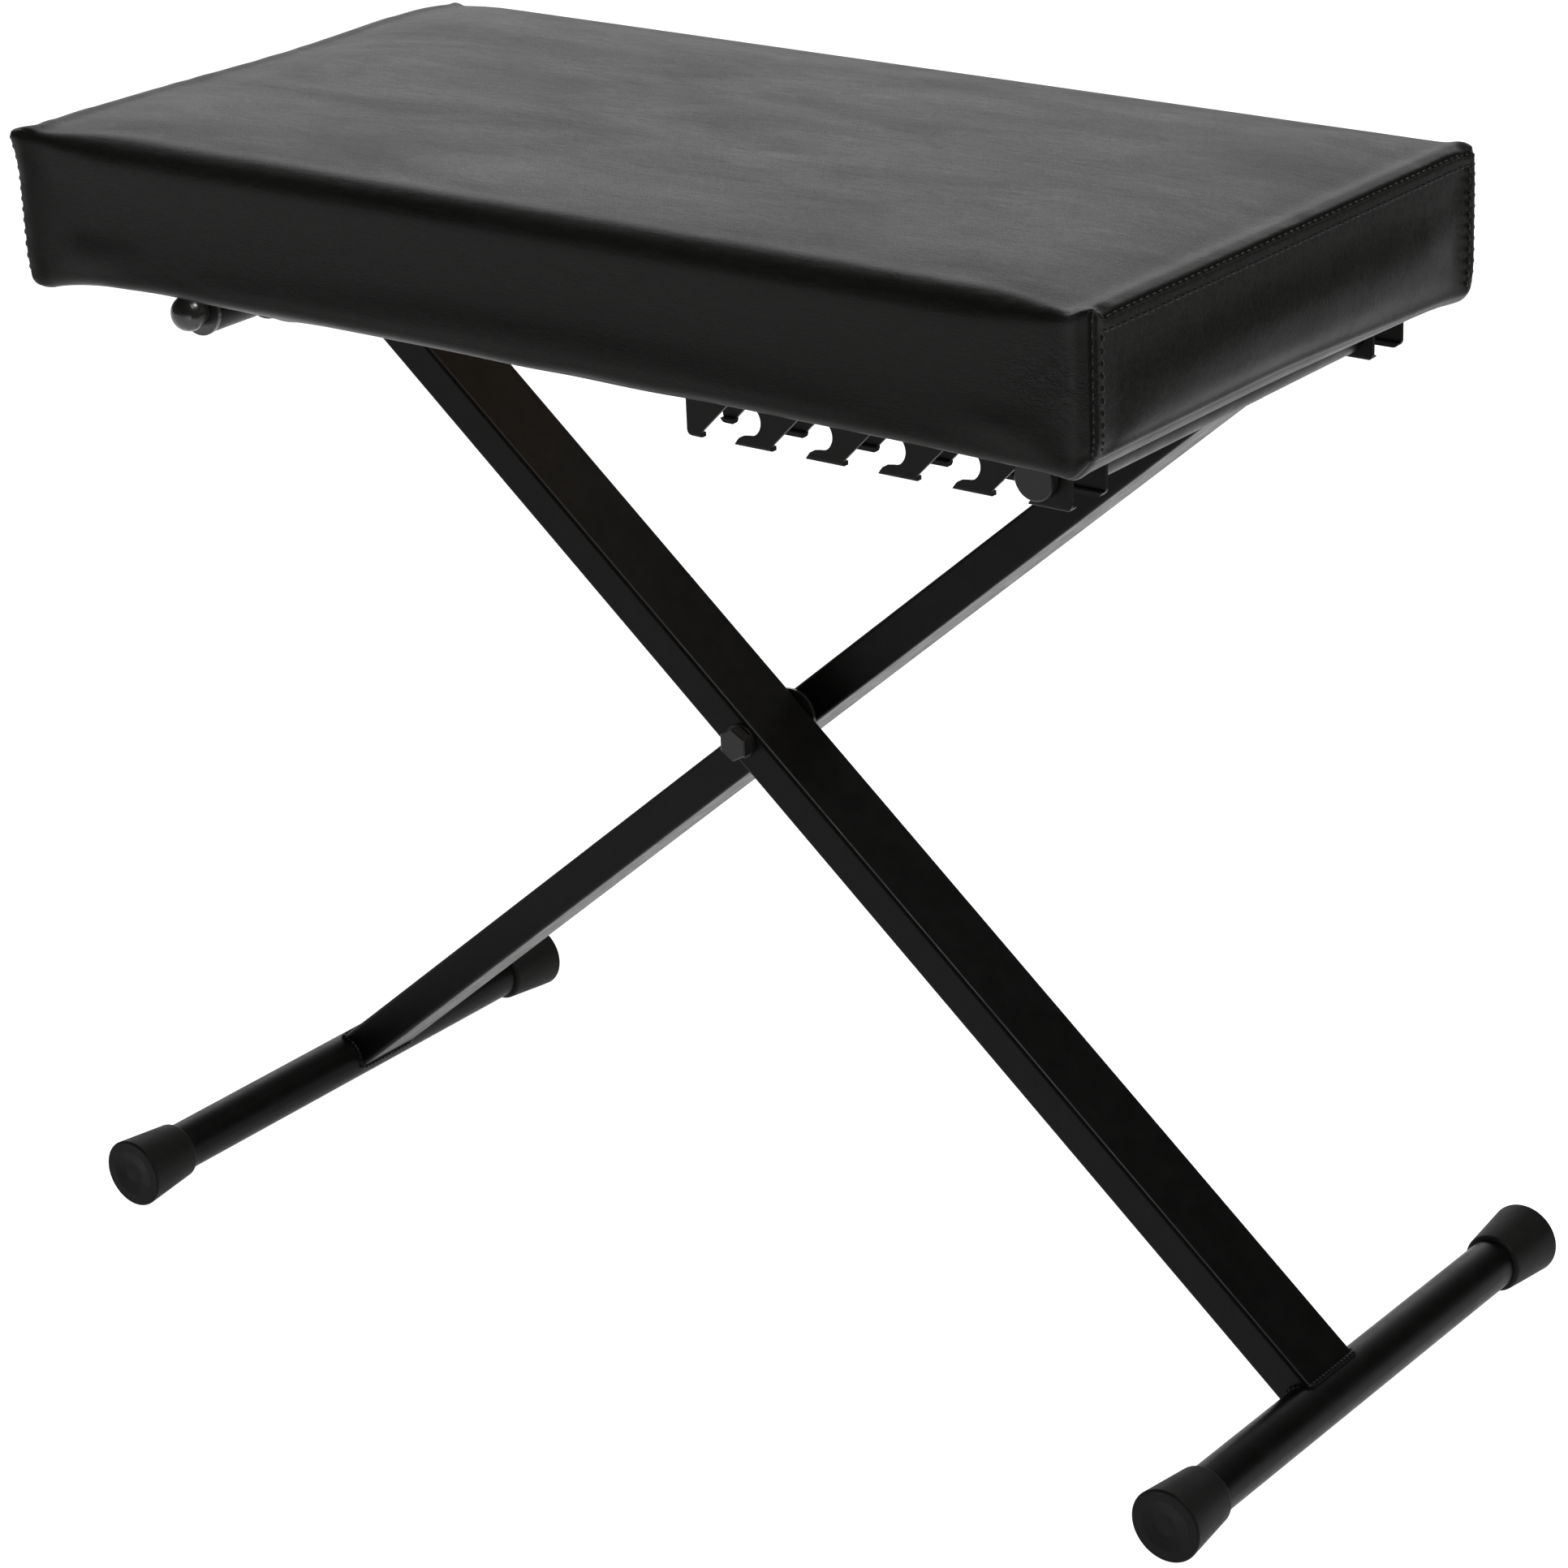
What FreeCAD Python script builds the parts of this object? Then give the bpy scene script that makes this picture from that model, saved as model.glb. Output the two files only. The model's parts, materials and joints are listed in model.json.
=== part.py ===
"""Folding piano bench: two crossed leg frames, a padded seat and notched height rails.

Frame: +X along the seat's length, -Y the front, +Z up, origin on the floor under the cross bolt.
Leg A rises to the left and carries the seat's hinge tube. Leg B rises to the right and carries
the catch tube, whose pins sit in the last of five notches in two rails under the seat.
"""
import FreeCAD, Part
import os
import re

import Sketcher

# Driving dimensions: millimetres and degrees.
DIMENSIONS = {
    "leg_angle": (40.07, "slope of both legs"),
    "leg_lower": (369.85, "cross bolt to foot tube"),
    "leg_upper": (282.0, "cross bolt to hinge tube or catch tube"),
    "leg_width": (36.0, "leg tube across the bench"),
    "leg_depth": (17.5, "leg tube in the plane of the fold"),
    "leg_corner": (1.9, "outer corner radius of a leg tube"),
    "tube_wall": (1.5, "wall of every tube"),
    "tube_radius": (11.1, "outer radius of the round tubes"),
    "leg_gap": (1.6, "space between the two legs"),
    "foot_half": (146.0, "bench centre to a foot cap's end face"),
    "cap_radius": (16.0, "foot cap at its outer end"),
    "cap_neck": (13.2, "foot cap at its inner end"),
    "cap_length": (30.0, "foot cap along its tube"),
    "cap_end": (3.5, "rubber beyond the tube's end"),
    "cap_dish": (0.9, "hollow in a foot cap's end face"),
    "cap_edge": (1.0, "rounding of a foot cap's outer edge"),
    "cap_mouth": (2.0, "rounding of a foot cap's inner edge"),
    "dish_floor": (5.0, "radius of the hollow's flat floor"),
    "dish_rim": (11.0, "radius of the hollow's rim"),
    "bolt_radius": (4.0, "cross bolt shank"),
    "bolt_flats": (13.0, "hexagon across its flats"),
    "bolt_head": (5.3, "height of the bolt head"),
    "bolt_bevel": (0.6, "bevel around the bolt head"),
    "nut_height": (8.0, "height of the lock nut"),
    "nut_flats": (6.0, "height of the lock nut's hexagon"),
    "nut_collar": (5.85, "radius of the lock nut's collar"),
    "bolt_tail": (2.5, "thread past the lock nut"),
    "washer_radius": (7.5, "bolt washers"),
    "washer_thick": (1.2, "bolt washers"),
    "spacer_radius": (12.0, "washer between the legs"),
    "sleeve_radius": (6.5, "sleeve and bush on the bolt"),
    "fit_gap": (0.25, "radial clearance of every turning fit"),
    "hinge_half": (121.0, "bench centre to the hinge tube's end"),
    "collar_radius": (11.5, "collar of the hinge tube's cap"),
    "collar_thick": (2.0, "collar of the hinge tube's cap"),
    "ball_radius": (8.0, "ball on the hinge tube's cap"),
    "ball_reach": (7.5, "hinge tube's end to the ball's centre"),
    "ball_plug": (14.0, "hinge tube's cap inside the tube"),
    "seat_length": (550.0, "cushion along the bench"),
    "seat_width": (278.8, "cushion across the bench"),
    "seat_left": (298.4, "origin to the cushion's left end"),
    "seat_top": (506.7, "height of the cushion's top"),
    "seat_under": (443.0, "height of the cushion's lowest edge"),
    "seat_corner": (12.0, "rounding of the cushion's upright corners"),
    "seat_edge": (9.0, "rounding of the cushion's top edge"),
    "cover_thick": (1.2, "vinyl"),
    "roll_width": (7.0, "foam roll around the board's edge"),
    "hem_width": (33.0, "vinyl folded under the board"),
    "board_under": (449.0, "height of the board's underside"),
    "board_thick": (12.0, "plywood"),
    "board_inset": (6.2, "cushion's side to the board's edge"),
    "rail_half": (110.0, "bench centre to a rail's centre"),
    "rail_width": (25.0, "rail across its flanges"),
    "rail_sheet": (1.8, "rail sheet thickness"),
    "rail_lip": (4.0, "rail lip, bent inwards"),
    "rail_bend": (1.5, "outer radius of the lip's bend"),
    "rail_lead": (23.0, "rail's left end to its first tooth"),
    "rail_corner": (3.0, "rounding of the rail's lower ends"),
    "rail_tail": (2.0, "last tooth to the rail's right end"),
    "pitch": (34.8, "notch to notch"),
    "notch_gaps": (4, "spaces between the five notches"),
    "tooth_foot": (18.3, "tooth along its lower edge"),
    "tooth_heel": (2.0, "upright part of a tooth's right side"),
    "toe_rise": (4.3, "height of a tooth's toe"),
    "toe_slant": (3.4, "lean of a tooth's toe"),
    "toe_round": (0.8, "corner of a tooth's toe, cut away"),
    "pocket_radius": (6.6, "round end of a notch"),
    "pocket_offset": (7.3, "toe to the centre of the notch's round end"),
    "notch_height": (18.0, "depth of a notch"),
    "pin_radius": (4.0, "catch pin's neck"),
    "pin_offset": (6.2, "toe to the catch pin at rest"),
    "pin_height": (12.5, "rail's lower edge to the catch pin at rest"),
    "pin_head": (9.0, "catch pin's head radius"),
    "pin_head_thick": (3.7, "catch pin's head"),
    "pin_bevel": (0.6, "bevel around the catch pin's head"),
    "pin_plug": (14.0, "catch pin inside the catch tube"),
    "catch_half": (96.5, "bench centre to the catch tube's end"),
    "head_gap": (0.8, "catch pin's head to the rail"),
    "saddle_half": (72.0, "bench centre to a hinge bracket"),
    "saddle_width": (22.0, "hinge bracket along the hinge tube"),
    "saddle_sheet": (2.0, "hinge bracket sheet"),
    "saddle_reach": (33.0, "hinge tube centre to the bracket's end"),
    "saddle_screw": (24.0, "hinge tube centre to a bracket screw"),
    "liner_thick": (1.0, "nylon liner around the hinge tube"),
    "liner_play": (0.1, "liner to the bracket's bend"),
    "screw_radius": (2.0, "wood screw shank"),
    "screw_length": (11.0, "wood screw under its head"),
    "screw_head": (4.2, "wood screw head radius"),
    "screw_head_thick": (2.4, "wood screw head"),
    "staple_crown": (10.0, "width of a hem staple"),
    "staple_wire": (0.7, "thickness of staple wire"),
    "staple_width": (1.2, "width of staple wire"),
    "staple_leg": (6.0, "staple leg into the board"),
    "staple_inset": (4.5, "foam roll to the row of staples"),
    "row_margin": (60.0, "cushion's end to the first staple of a long row"),
    "end_margin": (55.0, "cushion's side to the first staple of a short row"),
    "inner_corner": (2.0, "least rounding of an inner upright corner"),
    "past": (2.0, "how far a cutting tool reaches past what it cuts"),
}

# Words worked out from the driving dimensions.
DERIVED = {
    "pivot_rise": "(cap_radius + leg_lower * sin(leg_angle))",
    "foot_reach": "(leg_lower * cos(leg_angle))",
    "top_reach": "(leg_upper * cos(leg_angle))",
    "top_rise": "(pivot_rise + leg_upper * sin(leg_angle))",
    "tube_bore": "(tube_radius - tube_wall)",
    "rail_under": "(top_rise - pin_height)",
    "rail_height": "(board_under - cover_thick - rail_under)",
    "rail_length": "(rail_lead + notch_gaps * pitch + tooth_foot + rail_tail)",
    "rail_left": "(top_reach - pin_offset - notch_gaps * pitch - rail_lead)",
    "legs_front": "(leg_gap / 2 + leg_width)",
    "liner_bore": "(tube_radius + fit_gap)",
    "liner_radius": "(liner_bore + liner_thick)",
    "seat_middle": "(seat_length / 2 - seat_left)",
}
ARC_STEPS = 6
BEND_STEPS = 18
LIP_STEPS = 3
BALL_STEPS = 13
NECK_ANGLE = 40
LONG_ROW = 8
SHORT_ROW = 4
RAIL_SCREWS = (0.06, 0.50, 0.94)
TOLERANCE = 0.01

doc = FreeCAD.newDocument("piano_bench")
sheet = doc.addObject("Spreadsheet::Sheet", "Dims")
for row, (alias, (size, note)) in enumerate(DIMENSIONS.items(), start=1):
    sheet.set("A%d" % row, note)
    sheet.set("B%d" % row, str(size))
    sheet.setAlias("B%d" % row, alias)
doc.recompute()

nodes = []


# ---------------------------------------------------------------- helpers
def expression(text):
    """Turn words of the two tables into an expression on the spreadsheet."""
    def swap(match):
        word = match.group(0)
        if word in DERIVED:
            return expression(DERIVED[word])
        return "Dims." + word if word in DIMENSIONS else word
    return re.sub(r"[a-z_]+", swap, text)


def value(text):
    return float(sheet.evalExpression(expression(text)))


def bind(thing, **cells):
    for name, text in cells.items():
        thing.setExpression(name, expression(text))


def place(thing, x="0", y="0", z="0", axis=(0, 0, 1), angle=0.0):
    turn = FreeCAD.Rotation(FreeCAD.Vector(*axis), angle)
    thing.Placement = FreeCAD.Placement(FreeCAD.Vector(), turn)
    for name, text in (("x", x), ("y", y), ("z", z)):
        thing.setExpression("Placement.Base." + name, expression(text))


def node(thing, label):
    thing.Label = label
    nodes.append(thing)
    return thing


def rod(name, radius, length, x, y, z):
    """Cylinder along +Y from (x, y, z)."""
    item = doc.addObject("Part::Cylinder", name)
    bind(item, Radius=radius, Height=length)
    place(item, x, y, z, axis=(1, 0, 0), angle=-90)
    return item


def post(name, radius, length, x, y, z):
    """Cylinder along +Z from (x, y, z)."""
    item = doc.addObject("Part::Cylinder", name)
    bind(item, Radius=radius, Height=length)
    place(item, x, y, z)
    return item


def brick(name, length, width, height, x, y, z):
    """Box centred on (x, y), standing on z."""
    item = doc.addObject("Part::Box", name)
    bind(item, Length=length, Width=width, Height=height)
    place(item, "%s - (%s) / 2" % (x, length), "%s - (%s) / 2" % (y, width), z)
    return item


def cut(name, base, tool):
    item = doc.addObject("Part::Cut", name)
    item.Base = base
    item.Tool = tool
    return item


def group(name, members):
    item = doc.addObject("Part::MultiFuse", name)
    item.Shapes = members
    return item


def ring(label, radius, bore, length, x, y, z):
    """Plain tube along +Y from (x, y, z)."""
    outer = rod(label + "_outside", radius, length, x, y, z)
    inner = rod(label + "_bore", bore, length, x, y, z)
    return node(cut(label, outer, inner), label)


def body(label):
    return doc.addObject("PartDesign::Body", label)


def sketch(owner, name, plane, offset="0"):
    """Sketch on one of the body's own origin planes, moved along its normal."""
    item = owner.newObject("Sketcher::SketchObject", name)
    support = [face for face in owner.Origin.OriginFeatures if face.Role == plane + "_Plane"]
    item.AttachmentSupport = [(support[0], "")]
    item.MapMode = "FlatFace"
    item.setExpression("AttachmentOffset.Base.z", expression(offset))
    return item


def fix(item, kind, first, first_end, second, second_end, text):
    """Dimension between two points, bound to an expression."""
    size = value(text)
    number = item.addConstraint(Sketcher.Constraint(kind, first, first_end, second, second_end, size))
    item.setExpression("Constraints[%d]" % number, expression(text))


def outline(item, corners):
    """Closed loop of straight edges through corners, each a pair of expressions."""
    start = item.GeometryCount
    count = len(corners)
    spots = [FreeCAD.Vector(value(across), value(up), 0) for across, up in corners]
    for index in range(count):
        edge = Part.LineSegment(spots[index], spots[(index + 1) % count])
        item.addGeometry(edge, False)
    for index in range(count):
        after = start + (index + 1) % count
        item.addConstraint(Sketcher.Constraint("Coincident", start + index, 2, after, 1))
    for index, (across, up) in enumerate(corners):
        fix(item, "DistanceX", -1, 1, start + index, 1, across)
        fix(item, "DistanceY", -1, 1, start + index, 1, up)


def circle(item, across, up, radius):
    centre = FreeCAD.Vector(value(across), value(up), 0)
    number = item.addGeometry(Part.Circle(centre, FreeCAD.Vector(0, 0, 1), value(radius)), False)
    fix(item, "DistanceX", -1, 1, number, 3, across)
    fix(item, "DistanceY", -1, 1, number, 3, up)
    size = item.addConstraint(Sketcher.Constraint("Radius", number, value(radius)))
    item.setExpression("Constraints[%d]" % size, expression(radius))


def arc(across, up, radius, begin, finish, steps=ARC_STEPS):
    """Corners along an arc, from one angle to another."""
    corners = []
    for step in range(steps + 1):
        angle = begin + (finish - begin) * step / steps
        corners.append(("%s + (%s) * cos(%.3f)" % (across, radius, angle),
                        "%s + (%s) * sin(%.3f)" % (up, radius, angle)))
    return corners


def rounded_box(item, width, height, radius):
    """Rectangle with rounded corners, centred on the sketch's origin."""
    corners = []
    for quarter, (side, level) in enumerate(((1, 1), (-1, 1), (-1, -1), (1, -1))):
        across = "%d * ((%s) / 2 - (%s))" % (side, width, radius)
        up = "%d * ((%s) / 2 - (%s))" % (level, height, radius)
        corners += arc(across, up, radius, 90 * quarter, 90 * quarter + 90)
    outline(item, corners)


def pad(owner, name, profile, length, side="One side", reverse=False):
    item = owner.newObject("PartDesign::Pad", name)
    item.Profile = profile
    item.SideType = side
    item.Reversed = reverse
    bind(item, Length=length)
    return item


def pocket(owner, name, profile, length, side="One side", reverse=False):
    """Cut the profile away, and stop if nothing was cut."""
    doc.recompute()
    before = owner.Shape.Volume
    item = owner.newObject("PartDesign::Pocket", name)
    item.Profile = profile
    item.SideType = side
    item.Reversed = reverse
    bind(item, Length=length)
    doc.recompute()
    if owner.Shape.Volume > before - TOLERANCE:
        raise RuntimeError(name + " cuts nothing")
    return item


def dress(owner, kind, name, size, text, chosen):
    """Fillet or chamfer the body's edges that chosen picks."""
    doc.recompute()
    base = owner.Tip
    edges = ["Edge%d" % number for number, edge in enumerate(owner.Shape.Edges, start=1)
             if chosen(edge)]
    item = owner.newObject(kind, name)
    item.Base = (base, edges)
    bind(item, **{size: text})


def turned(label, corners):
    """Piece turned about the Y axis: corners are pairs of (radius, place along Y)."""
    owner = body(label)
    half = sketch(owner, label + "_half", "XY")
    outline(half, corners)
    spin = owner.newObject("PartDesign::Revolution", label + "_turn")
    spin.Profile = half
    spin.ReferenceAxis = (half, ["V_Axis"])
    spin.Angle = 360
    return node(owner, label)


def turn_round(thing, x, y, z, side):
    """Set a turned piece along Y; side is -1 in front, where the piece faces the other way."""
    place(thing, x, y, z, axis=(1, 0, 0), angle=0 if side > 0 else 180)


# ---------------------------------------------------------------- leg frames
def leg_tube(label, angle, middle, hole):
    """Rectangular tube along its own X axis, coped onto the round tubes at both ends."""
    owner = body(label)
    skin = sketch(owner, label + "_section", "YZ", "-leg_lower")
    rounded_box(skin, "leg_width", "leg_depth", "leg_corner")
    pad(owner, label + "_pad", skin, "leg_lower + leg_upper")
    bore = sketch(owner, label + "_inside", "YZ", "-leg_lower")
    rounded_box(bore, "leg_width - 2 * tube_wall", "leg_depth - 2 * tube_wall",
                "leg_corner - tube_wall")
    pocket(owner, label + "_hollow", bore, "leg_lower + leg_upper", reverse=True)
    ends = sketch(owner, label + "_ends", "XZ")
    circle(ends, "-leg_lower", "0", "tube_radius")
    circle(ends, "leg_upper", "0", "tube_radius")
    circle(ends, "0", "0", hole)
    pocket(owner, label + "_cope", ends, "leg_width + past", side="Symmetric")
    place(owner, "0", middle, "pivot_rise", axis=(0, 1, 0), angle=angle)
    return node(owner, label)


def foot_cap(label, x, side):
    """Tapered rubber cap with a shallow dish in its end face."""
    shoulder = arc("cap_radius - cap_edge", "-cap_edge", "cap_edge", 90, 0)
    neck = arc("cap_neck - cap_mouth", "cap_mouth - cap_length", "cap_mouth", 0, -90)
    corners = [("0", "-cap_dish"), ("dish_floor", "-cap_dish"), ("dish_rim", "0")]
    corners += shoulder + neck
    corners += [("tube_radius", "-cap_length"), ("tube_radius", "-cap_end"), ("0", "-cap_end")]
    cap = turned(label, corners)
    turn_round(cap, x, "%d * foot_half" % side, "cap_radius", side)
    return cap


def foot(name, x):
    """Floor tube along Y with a rubber cap at each end."""
    ring(name + "_tube", "tube_radius", "tube_bore", "2 * (foot_half - cap_end)",
         x, "cap_end - foot_half", "cap_radius")
    for end, side in (("front", -1), ("rear", 1)):
        foot_cap("%s_cap_%s" % (name, end), x, side)


def hinge_cap(label, side):
    """Plug in the end of the hinge tube, with a collar and a ball outside."""
    corners = [("0", "-ball_plug"), ("tube_bore", "-ball_plug"), ("tube_bore", "0")]
    corners += [("collar_radius", "0"), ("collar_radius", "collar_thick")]
    corners += [("ball_radius * cos(%d)" % NECK_ANGLE, "collar_thick")]
    corners += arc("0", "ball_reach", "ball_radius", -NECK_ANGLE, 90, BALL_STEPS)[:-1]
    corners += [("0", "ball_reach + ball_radius")]
    cap = turned(label, corners)
    turn_round(cap, "-top_reach", "%d * hinge_half" % side, "top_rise", side)


def catch_pin(label, side):
    """Headed pin: a plug in the catch tube, a neck in the rail's notches and a head outside."""
    neck_end = "(rail_half + rail_width / 2 + head_gap - catch_half)"
    corners = [("0", "-pin_plug"), ("tube_bore", "-pin_plug"), ("tube_bore", "0"),
               ("pin_radius", "0"), ("pin_radius", neck_end), ("pin_head", neck_end),
               ("pin_head", neck_end + " + pin_head_thick - pin_bevel"),
               ("pin_head - pin_bevel", neck_end + " + pin_head_thick"),
               ("0", neck_end + " + pin_head_thick")]
    pin = turned(label, corners)
    turn_round(pin, "top_reach", "%d * catch_half" % side, "top_rise", side)


def hexagon(item, flats):
    """Hexagon with corners straight above and below its centre."""
    outline(item, [("(%s) / sqrt(3) * cos(%d)" % (flats, 60 * turn + 30),
                    "(%s) / sqrt(3) * sin(%d)" % (flats, 60 * turn + 30)) for turn in range(6)])


def cross_bolt():
    """Hexagon bolt through both legs; its shank starts under the head."""
    owner = body("cross_bolt")
    head = sketch(owner, "bolt_hexagon", "XZ")
    hexagon(head, "bolt_flats")
    pad(owner, "bolt_head_pad", head, "bolt_head")
    shank = sketch(owner, "bolt_shank", "XZ")
    circle(shank, "0", "0", "bolt_radius")
    pad(owner, "bolt_shank_pad", shank,
        "2 * legs_front + 2 * washer_thick + fit_gap + nut_height + bolt_tail", reverse=True)
    front = value("bolt_bevel - bolt_head")
    dress(owner, "PartDesign::Chamfer", "bolt_bevel_cut", "Size", "bolt_bevel",
          lambda edge: edge.BoundBox.YMax < front)
    place(owner, "0", "-legs_front - washer_thick", "pivot_rise")
    node(owner, "cross_bolt")


def lock_nut():
    """Hexagon nut with a round nylon collar behind it."""
    owner = body("lock_nut")
    flats = sketch(owner, "nut_hexagon", "XZ")
    hexagon(flats, "bolt_flats")
    pad(owner, "nut_pad", flats, "nut_flats", reverse=True)
    collar = sketch(owner, "nut_round", "XZ")
    circle(collar, "0", "0", "nut_collar")
    pad(owner, "nut_collar_pad", collar, "nut_height", reverse=True)
    hole = sketch(owner, "nut_hole", "XZ")
    circle(hole, "0", "0", "bolt_radius")
    pocket(owner, "nut_bore", hole, "2 * nut_height + past", side="Symmetric")
    place(owner, "0", "legs_front + fit_gap + washer_thick", "pivot_rise")
    node(owner, "lock_nut")


def cross_joint():
    """Bolt, washers, sleeve and bush that hold the crossed legs together."""
    cross_bolt()
    lock_nut()
    ring("bolt_washer_front", "washer_radius", "bolt_radius", "washer_thick",
         "0", "-legs_front - washer_thick", "pivot_rise")
    ring("bolt_washer_rear", "washer_radius", "bolt_radius", "washer_thick",
         "0", "legs_front + fit_gap", "pivot_rise")
    ring("leg_spacer_washer", "spacer_radius", "bolt_radius", "leg_gap - fit_gap",
         "0", "-leg_gap / 2", "pivot_rise")
    ring("leg_a_sleeve", "sleeve_radius", "bolt_radius", "leg_width",
         "0", "-legs_front", "pivot_rise")
    ring("leg_b_bush", "sleeve_radius", "bolt_radius + fit_gap", "leg_width",
         "0", "leg_gap / 2", "pivot_rise")


def leg_frames():
    slope = value("leg_angle")
    leg_tube("leg_a_tube", 180 + slope, "-(leg_gap + leg_width) / 2", "sleeve_radius")
    leg_tube("leg_b_tube", -slope, "(leg_gap + leg_width) / 2", "sleeve_radius")
    foot("right_foot", "foot_reach")
    foot("left_foot", "-foot_reach")
    ring("pivot_tube", "tube_radius", "tube_bore", "2 * hinge_half",
         "-top_reach", "-hinge_half", "top_rise")
    ring("catch_tube", "tube_radius", "tube_bore", "2 * catch_half",
         "top_reach", "-catch_half", "top_rise")
    for end, side in (("front", -1), ("rear", 1)):
        hinge_cap("pivot_tube_cap_" + end, side)
        catch_pin("catch_pin_" + end, side)
    cross_joint()


# ---------------------------------------------------------------- seat
def rail_section():
    """Lipped channel, open downwards, seen along the rail."""
    half = "rail_width / 2"
    corners = [("-%s" % half, "rail_height"), ("%s" % half, "rail_height")]
    corners += arc("rail_width / 2 - rail_bend", "rail_bend", "rail_bend", 0, -90, LIP_STEPS)
    corners += [("rail_width / 2 - rail_lip", "0"), ("rail_width / 2 - rail_lip", "rail_sheet"),
                ("rail_width / 2 - rail_sheet", "rail_sheet"),
                ("rail_width / 2 - rail_sheet", "rail_height - rail_sheet"),
                ("rail_sheet - rail_width / 2", "rail_height - rail_sheet"),
                ("rail_sheet - rail_width / 2", "rail_sheet"),
                ("rail_lip - rail_width / 2", "rail_sheet"), ("rail_lip - rail_width / 2", "0")]
    corners += arc("rail_bend - rail_width / 2", "rail_bend", "rail_bend", -90, -180,
                   LIP_STEPS)
    return corners


def notch_outline():
    """Slot that climbs to the right between two teeth, from the toe of the right one."""
    toe = "rail_lead"
    heel = "rail_lead + tooth_foot - pitch"
    return [(heel, "-past"), (toe, "-past"), (toe, "0"),
            (toe + " + toe_slant * (1 - toe_round / toe_rise)", "toe_rise - toe_round"),
            (toe + " + toe_slant + toe_round", "toe_rise"),
            (toe + " + pocket_offset", "notch_height - 2 * pocket_radius"),
            (toe + " + pocket_offset", "notch_height"),
            (heel + " + notch_height - tooth_heel", "notch_height"),
            (heel, "tooth_heel")]


def notched_rail(label, middle, screws):
    """Lipped channel with five notches cut through both flanges."""
    owner = body(label + "_channel")
    section = sketch(owner, label + "_section", "YZ")
    outline(section, rail_section())
    pad(owner, label + "_pad", section, "rail_length")
    slot = sketch(owner, label + "_slot", "XZ")
    outline(slot, notch_outline())
    slots = pocket(owner, label + "_slot_cut", slot, "rail_width + past",
                   side="Symmetric")
    round_end = sketch(owner, label + "_round", "XZ")
    circle(round_end, "rail_lead + pocket_offset", "notch_height - pocket_radius", "pocket_radius")
    rounds = pocket(owner, label + "_round_cut", round_end, "rail_width + past",
                    side="Symmetric")
    row = owner.newObject("PartDesign::LinearPattern", label + "_notches")
    row.Originals = [slots, rounds]
    row.Direction = (slot, ["H_Axis"])
    bind(row, Length="notch_gaps * pitch", Occurrences="notch_gaps + 1")
    owner.Tip = row
    ends = sketch(owner, label + "_corners", "XZ")
    outline(ends, [("-past", "-past"), ("rail_corner", "-past")]
            + arc("rail_corner", "rail_corner", "rail_corner", 270, 180)
            + [("-past", "rail_corner")])
    outline(ends, [("rail_length + past", "-past"), ("rail_length + past", "rail_corner")]
            + arc("rail_length - rail_corner", "rail_corner", "rail_corner", 0, -90)
            + [("rail_length - rail_corner", "-past")])
    pocket(owner, label + "_corner_cut", ends, "rail_width + past", side="Symmetric")
    place(owner, "rail_left", middle, "rail_under")
    node(cut(label, owner, screws), label)


def saddle(label, middle, screws):
    """Strap that holds the hinge tube under the board, with a screwed foot on each side."""
    owner = body(label + "_strap")
    strap = sketch(owner, label + "_section", "XZ")
    top = "board_under - top_rise"
    inner = "liner_radius + liner_play"
    outer = inner + " + saddle_sheet"
    corners = [("-saddle_reach", top), ("-(%s)" % inner, top)]
    corners += arc("0", "0", inner, 180, 360, BEND_STEPS)
    corners += [(inner, top), ("saddle_reach", top), ("saddle_reach", top + " - saddle_sheet"),
                (outer, top + " - saddle_sheet")]
    corners += arc("0", "0", outer, 360, 180, BEND_STEPS)
    corners += [("-(%s)" % outer, top + " - saddle_sheet"),
                ("-saddle_reach", top + " - saddle_sheet")]
    outline(strap, corners)
    pad(owner, label + "_pad", strap, "saddle_width", side="Symmetric")
    place(owner, "-top_reach", middle, "top_rise")
    node(cut(label, owner, screws), label)


def screw(name, x, y, seat_level):
    """Pan-head wood screw driven upwards against a sheet whose lower face is at seat_level."""
    head = post(name + "_head", "screw_head", "screw_head_thick", x, y,
                "%s - screw_head_thick" % seat_level)
    shank = post(name + "_shank", "screw_radius", "screw_length", x, y, seat_level)
    return [head, shank]


def screw_set(label, spots, seat_level):
    pieces = []
    for number, (x, y) in enumerate(spots):
        pieces += screw("%s_%d" % (label, number), x, y, seat_level)
    return node(group(label, pieces), label)


def staple_spots():
    """Places of the hem staples, with True where the crown runs along X."""
    spots = []
    reach = "(seat_width / 2 - roll_width - staple_inset)"
    for side in (-1, 1):
        for step in range(LONG_ROW):
            part = 2 * step / (LONG_ROW - 1) - 1
            along = "seat_middle + %.3f * (seat_length / 2 - row_margin)" % part
            spots.append((along, "%d * %s" % (side, reach), True))
    reach = "(seat_length / 2 - roll_width - staple_inset)"
    for side in (-1, 1):
        for step in range(SHORT_ROW):
            part = 2 * step / (SHORT_ROW - 1) - 1
            across = "%.3f * (seat_width / 2 - end_margin)" % part
            spots.append(("seat_middle + %d * %s" % (side, reach), across, False))
    return spots


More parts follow.
